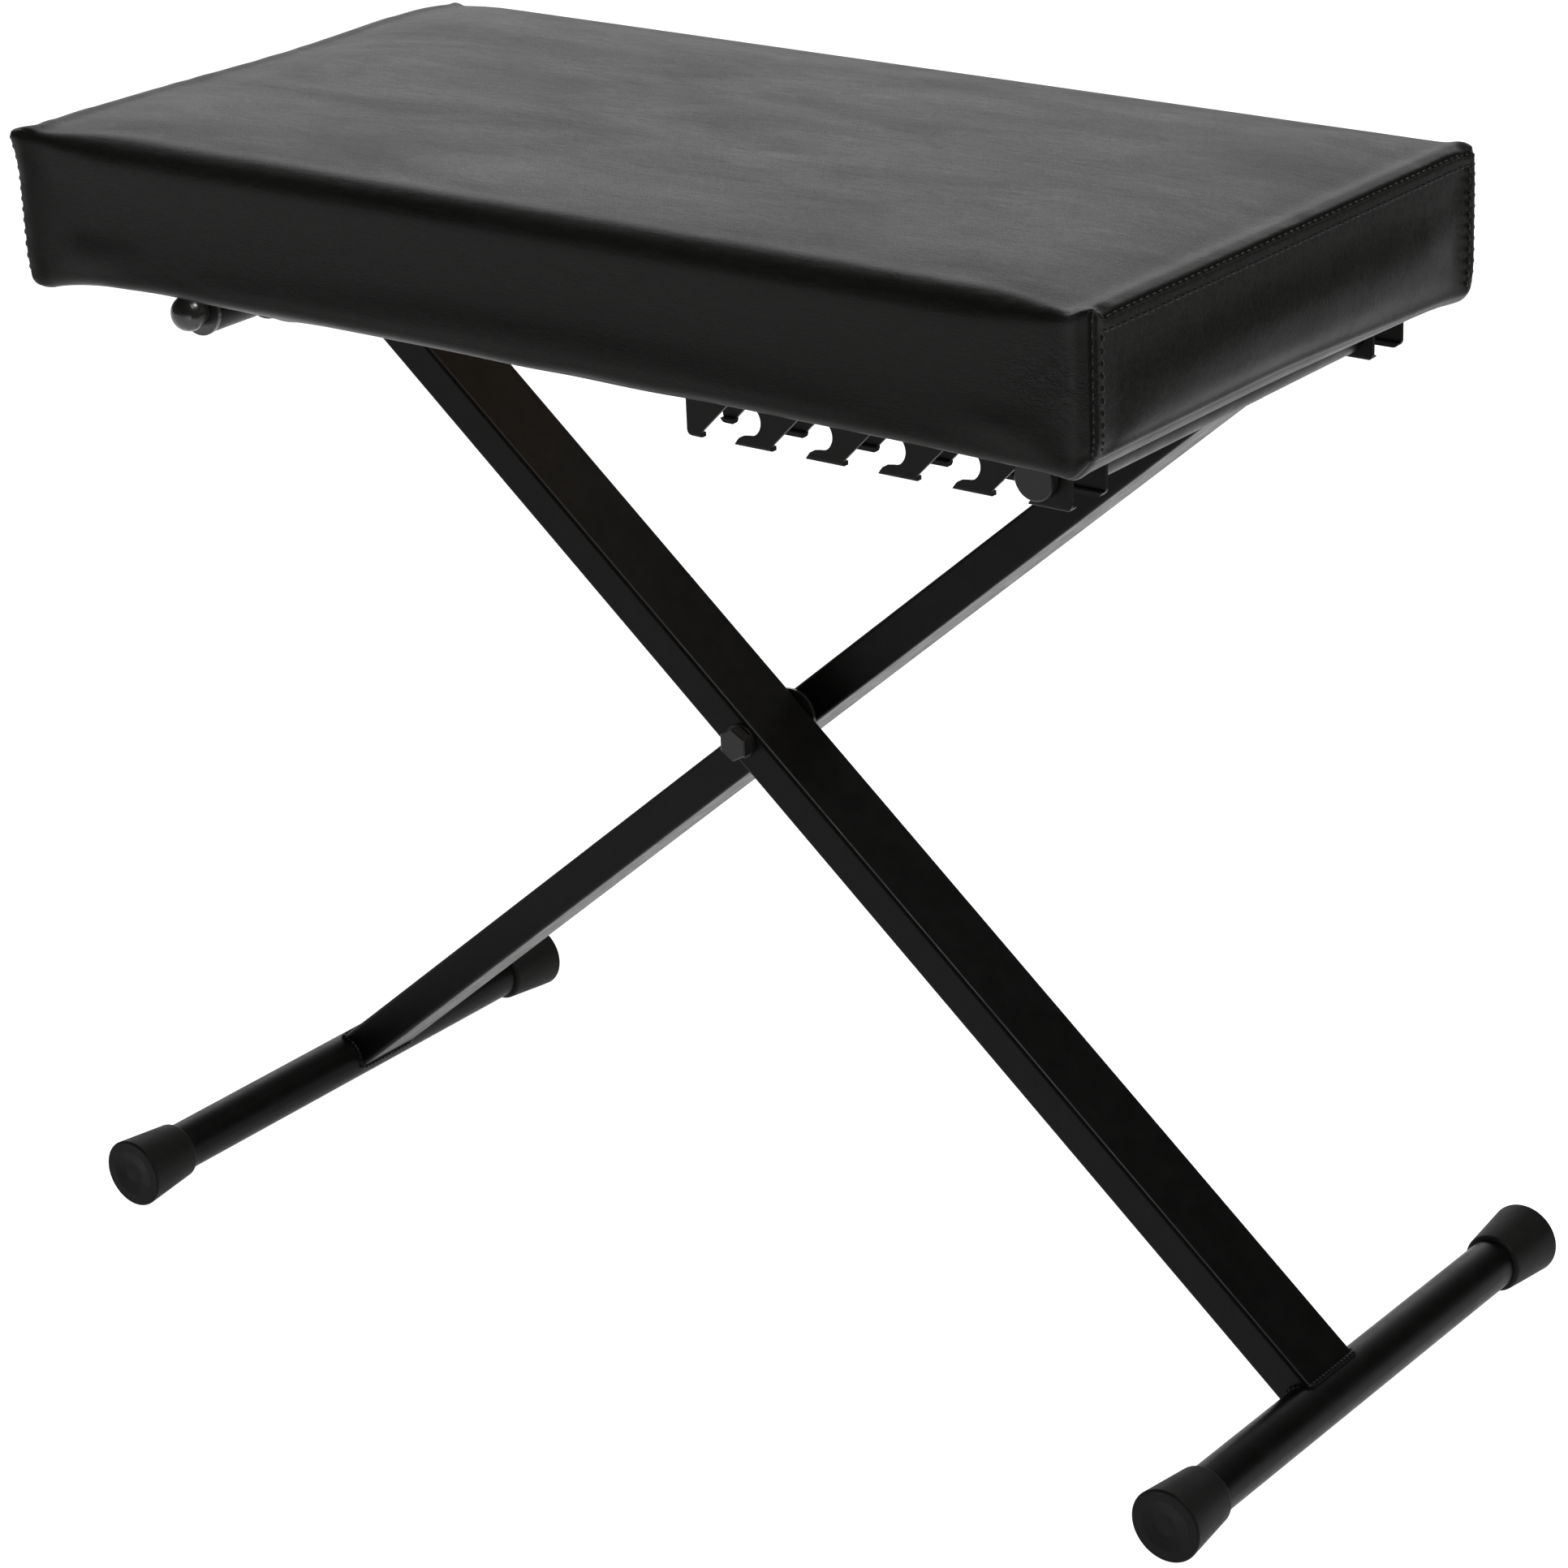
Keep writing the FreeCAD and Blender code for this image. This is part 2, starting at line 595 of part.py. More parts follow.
def hem_staples():
    """Wire staples that hold the folded vinyl to the board."""
    pieces = []
    crown_level = "board_under - cover_thick - staple_wire"
    for number, (x, y, along) in enumerate(staple_spots()):
        name = "staple_%d" % number
        size = ("staple_crown", "staple_width") if along else ("staple_width", "staple_crown")
        pieces.append(brick(name, size[0], size[1], "staple_wire", x, y, crown_level))
        for side in (-1, 1):
            reach = " + %d * (staple_crown - staple_wire) / 2" % side
            leg_x = x + reach if along else x
            leg_y = y if along else y + reach
            thick = ("staple_wire", "staple_width") if along else ("staple_width", "staple_wire")
            pieces.append(brick("%s_leg_%d" % (name, side + 1), thick[0], thick[1],
                                "staple_leg", leg_x, leg_y, crown_level))
    return node(group("hem_staples", pieces), "hem_staples")


def cushion_block(label, inset, low, high, edge="0"):
    """Rounded block inside the cushion's outline, optionally with a rounded top edge."""
    owner = body(label)
    plan = sketch(owner, label + "_plan", "XY")
    rounded_box(plan, "seat_length - 2 * (%s)" % inset, "seat_width - 2 * (%s)" % inset,
                "max(seat_corner - (%s); inner_corner)" % inset)
    pad(owner, label + "_pad", plan, "%s - (%s)" % (high, low))
    if value(edge) > 0:
        crest = value("%s - (%s)" % (high, low)) - TOLERANCE
        dress(owner, "PartDesign::Fillet", label + "_crown", "Radius", edge,
              lambda line: line.BoundBox.ZMin > crest)
    place(owner, "seat_middle", "0", low)
    return owner


def cushion(fixings):
    """Vinyl cover, foam and plywood board; the cover is folded under the board as a hem."""
    outside = cushion_block("cover_outside", "0", "seat_under", "seat_top", "seat_edge")
    inside = cushion_block("cover_inside", "cover_thick", "seat_under + cover_thick",
                           "seat_top - cover_thick", "seat_edge - cover_thick")
    recess = cushion_block("cover_recess", "roll_width", "seat_under - past",
                           "board_under - cover_thick")
    hem_outer = cushion_block("hem_outer", "roll_width - cover_thick",
                              "seat_under + cover_thick", "board_under")
    hem_open = cushion_block("hem_open", "roll_width + hem_width", "seat_under",
                             "board_under + past")
    hem = cut("hem", cut("hem_wall", hem_outer, recess), hem_open)
    skin = cut("cover_skin", cut("cover_shell", outside, inside), recess)
    cover = group("cover_whole", [skin, hem])
    node(cut("vinyl_cover", cover, fixings), "vinyl_cover")

    board = cushion_block("board_block", "board_inset", "board_under", "board_under + board_thick")
    node(cut("seat_board", board, fixings), "seat_board")
    foam_block = cushion_block("foam_block", "cover_thick", "seat_under + cover_thick",
                               "seat_top - cover_thick", "seat_edge - cover_thick")
    foam = cut("foam_over_hem", foam_block, hem_outer)
    node(cut("foam_pad", foam, board), "foam_pad")


def seat():
    rail_level = "board_under - cover_thick - rail_sheet"
    rail_spots = [("rail_left + rail_length * %.2f" % part, "%d * rail_half" % side)
                  for side in (-1, 1) for part in RAIL_SCREWS]
    rail_screws = screw_set("rail_screws", rail_spots, rail_level)
    saddle_spots = [("%d * saddle_screw - top_reach" % end, "%d * saddle_half" % side)
                    for side in (-1, 1) for end in (-1, 1)]
    saddle_screws = screw_set("bracket_screws", saddle_spots, "board_under - saddle_sheet")
    staples = hem_staples()
    notched_rail("front_notched_rail", "-rail_half", rail_screws)
    notched_rail("rear_notched_rail", "rail_half", rail_screws)
    for end, side in (("front", -1), ("rear", 1)):
        saddle("pivot_bracket_" + end, "%d * saddle_half" % side, saddle_screws)
        ring("pivot_liner_" + end, "liner_radius", "liner_bore", "saddle_width",
             "-top_reach", "%d * saddle_half - saddle_width / 2" % side, "top_rise")
    cushion(group("fixings", [rail_screws, saddle_screws, staples]))


# ---------------------------------------------------------------- build and write
leg_frames()
seat()
doc.recompute()

for thing in doc.Objects:
    if "Invalid" in thing.State or "Error" in thing.State:
        raise RuntimeError("%s is %s" % (thing.Label, thing.State))
os.makedirs("parts", exist_ok=True)
for thing in nodes:
    shape = thing.Shape
    if shape.isNull() or not shape.isValid() or not shape.Solids:
        raise RuntimeError(thing.Label + " has no valid solid")
    shape.exportStep("parts/%s.step" % thing.Label)
    box = shape.BoundBox
    print("%-22s solids %2d  volume %9.0f  x %7.1f %7.1f  y %7.1f %7.1f  z %6.1f %6.1f" % (
        thing.Label, len(shape.Solids), shape.Volume, box.XMin, box.XMax, box.YMin, box.YMax,
        box.ZMin, box.ZMax))
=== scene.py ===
"""Looks of the folding piano bench: camera, light, materials, upholstered cushion and welds."""
import json
import math

import bpy
import numpy as np
from mathutils import Matrix, Vector


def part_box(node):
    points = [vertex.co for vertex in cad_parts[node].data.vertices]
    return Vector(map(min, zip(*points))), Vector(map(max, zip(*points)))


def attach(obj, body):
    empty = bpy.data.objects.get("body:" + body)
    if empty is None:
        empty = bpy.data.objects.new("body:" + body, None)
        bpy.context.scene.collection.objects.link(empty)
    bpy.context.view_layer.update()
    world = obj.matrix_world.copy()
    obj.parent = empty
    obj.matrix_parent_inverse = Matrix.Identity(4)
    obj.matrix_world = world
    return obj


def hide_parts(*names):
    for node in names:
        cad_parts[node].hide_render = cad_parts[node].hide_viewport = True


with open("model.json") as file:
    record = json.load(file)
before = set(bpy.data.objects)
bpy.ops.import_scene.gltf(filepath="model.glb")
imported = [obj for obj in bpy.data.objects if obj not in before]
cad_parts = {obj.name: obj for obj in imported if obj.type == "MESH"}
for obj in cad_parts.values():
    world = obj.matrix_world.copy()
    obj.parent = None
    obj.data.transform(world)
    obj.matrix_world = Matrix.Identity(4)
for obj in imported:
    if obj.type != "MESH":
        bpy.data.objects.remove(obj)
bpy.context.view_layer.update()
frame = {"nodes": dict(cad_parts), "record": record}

MM = 0.001
HAIR = 1e-9

# ---------------------------------------------------------------- camera
CAMERA_PLACE = (1.1814, -1.5285, 1.0112)
CAMERA_AZIMUTH = 37.57
CAMERA_ELEVATION = 22.0
CAMERA_ROLL = -2.16
CAMERA_LENS = 110.06
CAMERA_SHIFT = (-0.01325, -0.01289)


def make_camera():
    """Camera at the viewing angle, turned about its own axis by the roll."""
    turn = math.radians(CAMERA_AZIMUTH)
    lift = math.radians(CAMERA_ELEVATION)
    roll = math.radians(CAMERA_ROLL)
    back = Vector((math.sin(turn) * math.cos(lift), -math.cos(turn) * math.cos(lift),
                   math.sin(lift)))
    right = Vector((0, 0, 1)).cross(back).normalized()
    up = back.cross(right)
    across = right * math.cos(roll) + up * math.sin(roll)
    above = up * math.cos(roll) - right * math.sin(roll)
    pose = Matrix((across, above, back)).transposed().to_4x4()
    pose.translation = Vector(CAMERA_PLACE)
    data = bpy.data.cameras.new("camera")
    data.lens = CAMERA_LENS
    data.sensor_width = 36
    data.shift_x, data.shift_y = CAMERA_SHIFT
    camera = bpy.data.objects.new("camera", data)
    camera.matrix_world = pose
    bpy.context.scene.collection.objects.link(camera)
    bpy.context.scene.camera = camera


# ---------------------------------------------------------------- light and floor
# Brightness of the sky by its direction: pairs of (direction component, factor).
GLOW_BY_HEIGHT = ((0.0, 0.3), (0.12, 0.8), (0.26, 4.1), (0.44, 4.1), (0.57, 0.04), (1.0, 0.04))
GLOW_BY_DEPTH = ((-0.20, 0.02), (0.45, 1.0))
GLOW_BY_SIDE = ((-0.35, 1.0), (0.10, 0.04))
ABOVE = (0, 0, 4)
KEY_PLACE = (1.75, 0.2, 2.85)
KEY_AIM = (0, 0, 0.4)
FLOOR_HALF = 9.0
CARD_LIFT = 0.02
FLAG_PLACE = 0.58
FLAG_NEAR = -0.8
FLAG_FAR = 1.8
FLAG_TOP = 0.6
BOUNCE_X = (0.45, 0.95)
BOUNCE_Y = (-1.45, -0.95)
BOUNCE_GLOW = 7.0


def make_world():
    """Pale at the back left near the horizon and dark elsewhere, behind a white backdrop."""
    world = bpy.data.worlds.new("studio")
    bpy.context.scene.world = world
    world.use_nodes = True
    tree = world.node_tree
    tree.nodes.clear()
    out = tree.nodes.new("ShaderNodeOutputWorld")
    glow = tree.nodes.new("ShaderNodeBackground")
    place = tree.nodes.new("ShaderNodeTexCoord")
    split = tree.nodes.new("ShaderNodeSeparateXYZ")
    tree.links.new(place.outputs["Generated"], split.inputs[0])
    height = ramp(tree, split.outputs["Z"], GLOW_BY_HEIGHT)
    behind = ramp(tree, split.outputs["Y"], GLOW_BY_DEPTH)
    leftward = ramp(tree, split.outputs["X"], GLOW_BY_SIDE)
    level = math_node(tree, "MULTIPLY", height, behind)
    level = math_node(tree, "MULTIPLY", level, leftward)
    tree.links.new(level, glow.inputs["Strength"])
    backdrop = tree.nodes.new("ShaderNodeBackground")
    backdrop.inputs["Color"].default_value = (1, 1, 1, 1)
    seen = tree.nodes.new("ShaderNodeLightPath")
    choice = tree.nodes.new("ShaderNodeMixShader")
    tree.links.new(seen.outputs["Is Camera Ray"], choice.inputs[0])
    tree.links.new(glow.outputs[0], choice.inputs[1])
    tree.links.new(backdrop.outputs[0], choice.inputs[2])
    tree.links.new(choice.outputs[0], out.inputs["Surface"])


def make_light(name, kind, energy, place, aim, size=1.0, shadow=True):
    data = bpy.data.lights.new(name, kind)
    data.energy = energy
    data.use_shadow = shadow
    if kind == "SUN":
        data.angle = math.radians(size)
    else:
        data.shape = "DISK"
        data.size = size
    lamp = bpy.data.objects.new(name, data)
    lamp.location = place
    lamp.rotation_euler = (Vector(aim) - Vector(place)).to_track_quat("-Z", "Y").to_euler()
    bpy.context.scene.collection.objects.link(lamp)
    return lamp


def card(name, corners, glow):
    """Flat studio card, seen only in reflections: black, or glowing."""
    mesh = bpy.data.meshes.new(name)
    mesh.from_pydata(corners, [], [(0, 1, 2, 3)])
    piece = bpy.data.objects.new(name, mesh)
    bpy.context.scene.collection.objects.link(piece)
    paint, _, surface = new_material(name)
    surface.inputs["Base Color"].default_value = (0.01, 0.01, 0.01, 1)
    surface.inputs["Roughness"].default_value = 1.0
    surface.inputs["Specular IOR Level"].default_value = 0.0
    surface.inputs["Emission Color"].default_value = (1, 1, 1, 1)
    surface.inputs["Emission Strength"].default_value = glow
    mesh.materials.append(paint)
    piece.visible_camera = False
    piece.visible_diffuse = False
    piece.visible_shadow = False


def make_stage():
    """Studio: world, key light, reflection cards, and a floor with two suns of its own."""
    make_world()
    overhead = make_light("overhead", "SUN", 0.5, ABOVE, (0, 0, 0), size=50)
    wash = make_light("wash", "SUN", 2.9, ABOVE, (0, 0, 0), size=60, shadow=False)
    make_light("key", "AREA", 80, KEY_PLACE, KEY_AIM, size=0.36, shadow=False)
    half = FLOOR_HALF
    mesh = bpy.data.meshes.new("floor")
    mesh.from_pydata([(-half, -half, 0), (half, -half, 0), (half, half, 0), (-half, half, 0)], [],
                     [(0, 1, 2, 3)])
    floor = bpy.data.objects.new("floor", mesh)
    bpy.context.scene.collection.objects.link(floor)
    paint, _, surface = new_material("floor_white")
    surface.inputs["Base Color"].default_value = (0.88, 0.88, 0.88, 1)
    surface.inputs["Roughness"].default_value = 0.9
    surface.inputs["Specular IOR Level"].default_value = 0.1
    mesh.materials.append(paint)
    card("flag", [(FLAG_PLACE, FLAG_NEAR, CARD_LIFT), (FLAG_PLACE, FLAG_FAR, CARD_LIFT),
                  (FLAG_PLACE, FLAG_FAR, FLAG_TOP), (FLAG_PLACE, FLAG_NEAR, FLAG_TOP)], 0.0)
    card("bounce", [(BOUNCE_X[0], BOUNCE_Y[0], CARD_LIFT), (BOUNCE_X[1], BOUNCE_Y[0], CARD_LIFT),
                    (BOUNCE_X[1], BOUNCE_Y[1], CARD_LIFT), (BOUNCE_X[0], BOUNCE_Y[1], CARD_LIFT)],
         BOUNCE_GLOW)
    floor_only = bpy.data.collections.new("floor_only")
    floor_only.objects.link(floor)
    for lamp in (overhead, wash):
        lamp.light_linking.receiver_collection = floor_only


# ---------------------------------------------------------------- material helpers
def new_material(name):
    paint = bpy.data.materials.new(name)
    paint.use_nodes = True
    return paint, paint.node_tree, paint.node_tree.nodes["Principled BSDF"]


def math_node(tree, operation, first, second=None):
    item = tree.nodes.new("ShaderNodeMath")
    item.operation = operation
    for socket, value in zip(item.inputs, (first, second)):
        if value is None:
            continue
        if isinstance(value, (int, float)):
            socket.default_value = value
        else:
            tree.links.new(value, socket)
    return item.outputs[0]


def ramp(tree, value, stops):
    """Piecewise straight curve through stops, pairs of (input, output)."""
    result = None
    for (low, start), (high, finish) in zip(stops, stops[1:]):
        item = tree.nodes.new("ShaderNodeMapRange")
        item.inputs["From Min"].default_value = low
        item.inputs["From Max"].default_value = high
        item.inputs["To Min"].default_value = start if result is None else 0.0
        item.inputs["To Max"].default_value = finish if result is None else finish - start
        tree.links.new(value, item.inputs["Value"])
        result = item.outputs[0] if result is None else math_node(tree, "ADD", result,
                                                                  item.outputs[0])
    return result


def place_node(tree, stretch=(1, 1, 1)):
    """Place on the object, in metres, stretched along each axis."""
    place = tree.nodes.new("ShaderNodeTexCoord")
    scale = tree.nodes.new("ShaderNodeMapping")
    scale.inputs["Scale"].default_value = stretch
    tree.links.new(place.outputs["Object"], scale.inputs["Vector"])
    return scale.outputs[0]


def noise(tree, place, scale, detail=3.0, rough=0.55, warp=0.0):
    item = tree.nodes.new("ShaderNodeTexNoise")
    item.inputs["Scale"].default_value = scale
    item.inputs["Detail"].default_value = detail
    item.inputs["Roughness"].default_value = rough
    item.inputs["Distortion"].default_value = warp
    tree.links.new(place, item.inputs["Vector"])
    return item.outputs["Fac"]


def cells(tree, place, scale):
    item = tree.nodes.new("ShaderNodeTexVoronoi")
    item.feature = "DISTANCE_TO_EDGE"
    item.inputs["Scale"].default_value = scale
    tree.links.new(place, item.inputs["Vector"])
    return item.outputs["Distance"]


def mix_colour(tree, amount, dark, light):
    item = tree.nodes.new("ShaderNodeMix")
    item.data_type = "RGBA"
    item.inputs[6].default_value = (*dark, 1)
    item.inputs[7].default_value = (*light, 1)
    tree.links.new(amount, item.inputs[0])
    return item.outputs[2]


def bump(tree, surface, height, depth, strength=1.0, under=None):
    item = tree.nodes.new("ShaderNodeBump")
    item.inputs["Distance"].default_value = depth
    item.inputs["Strength"].default_value = strength
    tree.links.new(height, item.inputs["Height"])
    if under is not None:
        tree.links.new(under, item.inputs["Normal"])
    tree.links.new(item.outputs["Normal"], surface.inputs["Normal"])
    return item.outputs["Normal"]


def near(tree, axis, centre, reach):
    """1 at a place along one axis, falling to 0 at reach on both sides."""
    place = tree.nodes.new("ShaderNodeTexCoord")
    split = tree.nodes.new("ShaderNodeSeparateXYZ")
    tree.links.new(place.outputs["Object"], split.inputs[0])
    away = math_node(tree, "ABSOLUTE", math_node(tree, "SUBTRACT", split.outputs[axis], centre))
    return ramp(tree, away, ((0.0, 1.0), (reach, 0.0)))


# ---------------------------------------------------------------- materials
def coated_steel(name, dark, light, low, high, level, grain=1400, depth=0.00004):
    """Satin powder coat: orange peel, mottled gloss and faint colour variation."""
    paint, tree, surface = new_material(name)
    place = place_node(tree)
    patches = noise(tree, place, 30, 4)
    tree.links.new(mix_colour(tree, patches, dark, light), surface.inputs["Base Color"])
    mottled = noise(tree, place, 90, 5, 0.6)
    tree.links.new(ramp(tree, mottled, ((0.3, low), (0.7, high))), surface.inputs["Roughness"])
    surface.inputs["Specular IOR Level"].default_value = level
    bump(tree, surface, noise(tree, place, grain, 2), depth)
    return paint


def rubber(name):
    paint, tree, surface = new_material(name)
    place = place_node(tree)
    scuffs = noise(tree, place_node(tree, (1, 0.35, 1)), 160, 6, 0.7)
    colour = mix_colour(tree, scuffs, (0.003, 0.003, 0.0028), (0.006, 0.006, 0.0056))
    tree.links.new(colour, surface.inputs["Base Color"])
    tree.links.new(ramp(tree, scuffs, ((0.3, 0.50), (0.75, 0.66))), surface.inputs["Roughness"])
    surface.inputs["Specular IOR Level"].default_value = 0.078
    bump(tree, surface, noise(tree, place, 1800, 3), 0.00005)
    return paint


def vinyl(name):
    """Upholstery vinyl: fine pebble grain, long faint creases and uneven gloss."""
    paint, tree, surface = new_material(name)
    place = place_node(tree)
    streaks = noise(tree, place_node(tree, (9, 26, 26)), 1.0, 6, 0.62, 0.6)
    clouds = noise(tree, place_node(tree, (1, 1.6, 1)), 11, 4, 0.6)
    tone = math_node(tree, "MULTIPLY", streaks, clouds)
    colour = mix_colour(tree, ramp(tree, tone, ((0.12, 0.0), (0.42, 1.0))),
                        (0.0058, 0.0056, 0.0051), (0.0082, 0.0080, 0.0074))
    tree.links.new(colour, surface.inputs["Base Color"])
    gloss = math_node(tree, "ADD", math_node(tree, "MULTIPLY", streaks, 0.7),
                      math_node(tree, "MULTIPLY", clouds, 0.3))
    tree.links.new(ramp(tree, gloss, ((0.36, 0.35), (0.62, 0.46))), surface.inputs["Roughness"])
    surface.inputs["Specular IOR Level"].default_value = 0.088
    creases = noise(tree, place_node(tree, (70, 330, 330)), 1.0, 5, 0.65, 0.9)
    folded = math_node(tree, "ABSOLUTE", math_node(tree, "SUBTRACT", creases, 0.5))
    first = bump(tree, surface, ramp(tree, folded, ((0.0, 0.0), (0.05, 1.0))), 0.00006, 0.55)
    pebbles = cells(tree, place, 1150)
    second = bump(tree, surface, ramp(tree, pebbles, ((0.0, 0.0), (0.25, 1.0))), 0.00005, 0.8,
                  first)
    corner = math_node(tree, "MULTIPLY", near(tree, "X", HIGH.x - 16 * MM, 34 * MM),
                       near(tree, "Y", LOW.y, 12 * MM))
    corner = math_node(tree, "MULTIPLY", corner, near(tree, "Z", LOW.z + 36 * MM, 26 * MM))
    crinkle = noise(tree, place_node(tree, (150, 90, 260)), 1.0, 4, 0.6, 1.4)
    crinkle = math_node(tree, "ABSOLUTE", math_node(tree, "SUBTRACT", crinkle, 0.5))
    crinkle = math_node(tree, "MULTIPLY", ramp(tree, crinkle, ((0.0, 0.0), (0.09, 1.0))), corner)
    bump(tree, surface, crinkle, 0.00026, 0.9, second)
    return paint


def thread(name):
    paint, tree, surface = new_material(name)
    twist = noise(tree, place_node(tree, (900, 900, 900)), 1.0, 2)
    colour = mix_colour(tree, twist, (0.004, 0.004, 0.0038), (0.014, 0.014, 0.0132))
    tree.links.new(colour, surface.inputs["Base Color"])
    surface.inputs["Roughness"].default_value = 0.38
    surface.inputs["Specular IOR Level"].default_value = 0.4
    bump(tree, surface, twist, 0.0001)
    return paint


def plywood(name):
    paint, tree, surface = new_material(name)
    grain = noise(tree, place_node(tree, (4, 90, 90)), 1.0, 6, 0.6, 0.5)
    pores = noise(tree, place_node(tree, (60, 900, 900)), 1.0, 3)
    tone = math_node(tree, "ADD", math_node(tree, "MULTIPLY", grain, 0.75),
                     math_node(tree, "MULTIPLY", pores, 0.25))
    colour = mix_colour(tree, ramp(tree, tone, ((0.35, 0.0), (0.65, 1.0))),
                        (0.32, 0.20, 0.105), (0.60, 0.44, 0.27))
    tree.links.new(colour, surface.inputs["Base Color"])
    tree.links.new(ramp(tree, grain, ((0.3, 0.62), (0.7, 0.78))), surface.inputs["Roughness"])
    bump(tree, surface, tone, 0.0003)
    return paint


def bare_metal(name, dark, light, low, high):
    paint, tree, surface = new_material(name)
    place = place_node(tree)
    patches = noise(tree, place, 260, 4)
    tree.links.new(mix_colour(tree, patches, dark, light), surface.inputs["Base Color"])
    tree.links.new(ramp(tree, patches, ((0.3, low), (0.7, high))), surface.inputs["Roughness"])
    surface.inputs["Metallic"].default_value = 1.0
    bump(tree, surface, noise(tree, place, 2600, 2), 0.00003)
    return paint


def moulded(name, dark, light, low, high):
    paint, tree, surface = new_material(name)
    place = place_node(tree)
    patches = noise(tree, place, 120, 4)
    tree.links.new(mix_colour(tree, patches, dark, light), surface.inputs["Base Color"])
    tree.links.new(ramp(tree, patches, ((0.3, low), (0.7, high))), surface.inputs["Roughness"])
    bump(tree, surface, noise(tree, place, 2200, 2), 0.00003)
    return paint


def paint_frame():
    """Give every shown CAD node the material of its slot."""
    paints = {
        "black_powder_coat": coated_steel("powder_coat", (0.0014, 0.0014, 0.0013),
                                          (0.0026, 0.0025, 0.0023), 0.34, 0.44, 0.070),
        "black_sheet_steel": coated_steel("sheet_coat", (0.0026, 0.0025, 0.0022),
                                          (0.0046, 0.0045, 0.0042), 0.36, 0.46, 0.09),
        "black_hardware": coated_steel("black_zinc", (0.0040, 0.0039, 0.0036),
                                       (0.0080, 0.0077, 0.0072), 0.28, 0.40, 0.22, 2400, 0.00003),
        "black_rubber": rubber("cap_rubber"),
        "black_plastic": moulded("cap_plastic", (0.008, 0.008, 0.0075), (0.010, 0.010, 0.0095),
                                 0.24, 0.29),
        "plywood": plywood("birch_plywood"),
        "zinc_steel": bare_metal("zinc_plate", (0.42, 0.43, 0.45), (0.66, 0.66, 0.66), 0.28, 0.42),
        "nylon": moulded("natural_nylon", (0.60, 0.59, 0.54), (0.70, 0.69, 0.64), 0.40, 0.52),
    }
    for part in frame["record"]["subparts"]:
        slot = part["material_slot"]
        piece = frame["nodes"][part["node"]]
        if slot in paints:
            piece.data.materials.clear()
            piece.data.materials.append(paints[slot])
    return paints


# ---------------------------------------------------------------- cushion
LOW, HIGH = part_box("vinyl_cover")
BOARD_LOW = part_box("seat_board")[0]
MIDDLE = (LOW.x + HIGH.x) / 2
INSET = -1.5 * MM
HALF_X = (HIGH.x - LOW.x) / 2 - INSET
HALF_Y = (HIGH.y - LOW.y) / 2 - INSET
TALL = HIGH.z - LOW.z
ROLL = 12 * MM
ROLL_AT_SEAM = 3.2 * MM
ROLL_RUN = 60 * MM
ROLL_LOW = 5 * MM
END_LOW = 3.4 * MM
SEAM_ROUND = 2.4 * MM
HEM_START = 8.5 * MM
HEM_END = 42 * MM
HEM_RISE = BOARD_LOW.z - LOW.z - 1.2 * MM
BOARD_RISE = BOARD_LOW.z - LOW.z + 0.2 * MM
HIDDEN_RISE = BOARD_LOW.z - LOW.z + 4 * MM
PITCH = 4.3 * MM
ROW_TWO = 6.4 * MM
STEP = 7.5 * MM
SIM_STEP = 6 * MM
SIM_FRAMES = 20
MOVE_CAP = 1.7 * MM
CROWN = 0.30
EDGE_SHARE = 0.2

# Sewn detail: height of the seam allowance, depth of the seams and of the second row's line.
WELT_RISE = 0.32 * MM
SEAM_DEPTH = 0.9 * MM
ROW_DEPTH = 0.22 * MM
PUCKER = 0.34 * MM
SWELL = 1.6 * MM

# Larger forms: how far each end bows out and turns in, and what the edges give way.
END_BOW = 1.7 * MM
TUCK_IN = 1.4 * MM
LEFT_SAG = 2.0 * MM
EAR_PINCH = 1.7 * MM
SEAM_LIFT = 1.8 * MM
END_DROP = 1.3 * MM
LONG_PULL = 1.9 * MM
RIGHT_PULL = 5.4 * MM
LEFT_PULL = 1.6 * MM
LEFT_TILT = 2.0 * MM
RIPPLE = 0.35 * MM
MITRE = 1.4 * MM
LOW_REACH = 22 * MM
CREASE_FAN = 0.16 * MM

# By corner (end, side), in mm: reach of the ear, then its move outward, sideways and up.
EARS = {(1, -1): (7, 0.8, 1.2, 4.8), (-1, -1): (10, 3.2, 0.6, 0.6),
        (-1, 1): (24, -4.5, -2.0, -1.6), (1, 1): (11, 0.0, -0.8, -0.2)}
# By corner, in mm: distance of the lower tip from the end, its reach and how far it hangs.
FEET = {(1, -1): (10, 9, 0.3), (-1, -1): (6, 20, 4.4),
        (-1, 1): (6, 18, 1.2), (1, 1): (6, 18, 2.4)}
# Tucks of the hem: place along the bench, side, width and depth in mm.
TUCKS = ((-0.160, -1, 24, 8.5), (-0.268, -1, 18, 8.0), (0.02, -1, 30, 5.0),
         (0.12, 1, 26, 4.0), (-0.12, 1, 30, 3.4), (-0.25, 1, 18, 3.0))

# Distances from a seam of the mesh lines beside it, in mm, and of those at the hem's edge.
NEAR_SEAM = (0.0, 0.7, 1.4, 2.2, 3.2, 4.4, 5.6, 6.4, 7.2, 8.4, 9.6, 11.5, 14.0, 17.5, 22.0)
AT_HEM = (41.3, 41.9, 42.6, 44.5)


def smooth(value):
    value = np.clip(value, 0, 1)
    return value * value * (3 - 2 * value)


def lines(half, near_ends, step):
    """Grid lines from -half to half: set distances at both ends, even steps between."""
    ends = [place * MM for place in near_ends]
    inner = half - ends[-1]
    count = max(1, round(2 * inner / step))
    middle = np.linspace(-inner, inner, count + 1)
    left = [-half + place for place in ends[:-1]]
    return np.array(left + list(middle) + [-place for place in reversed(left)])


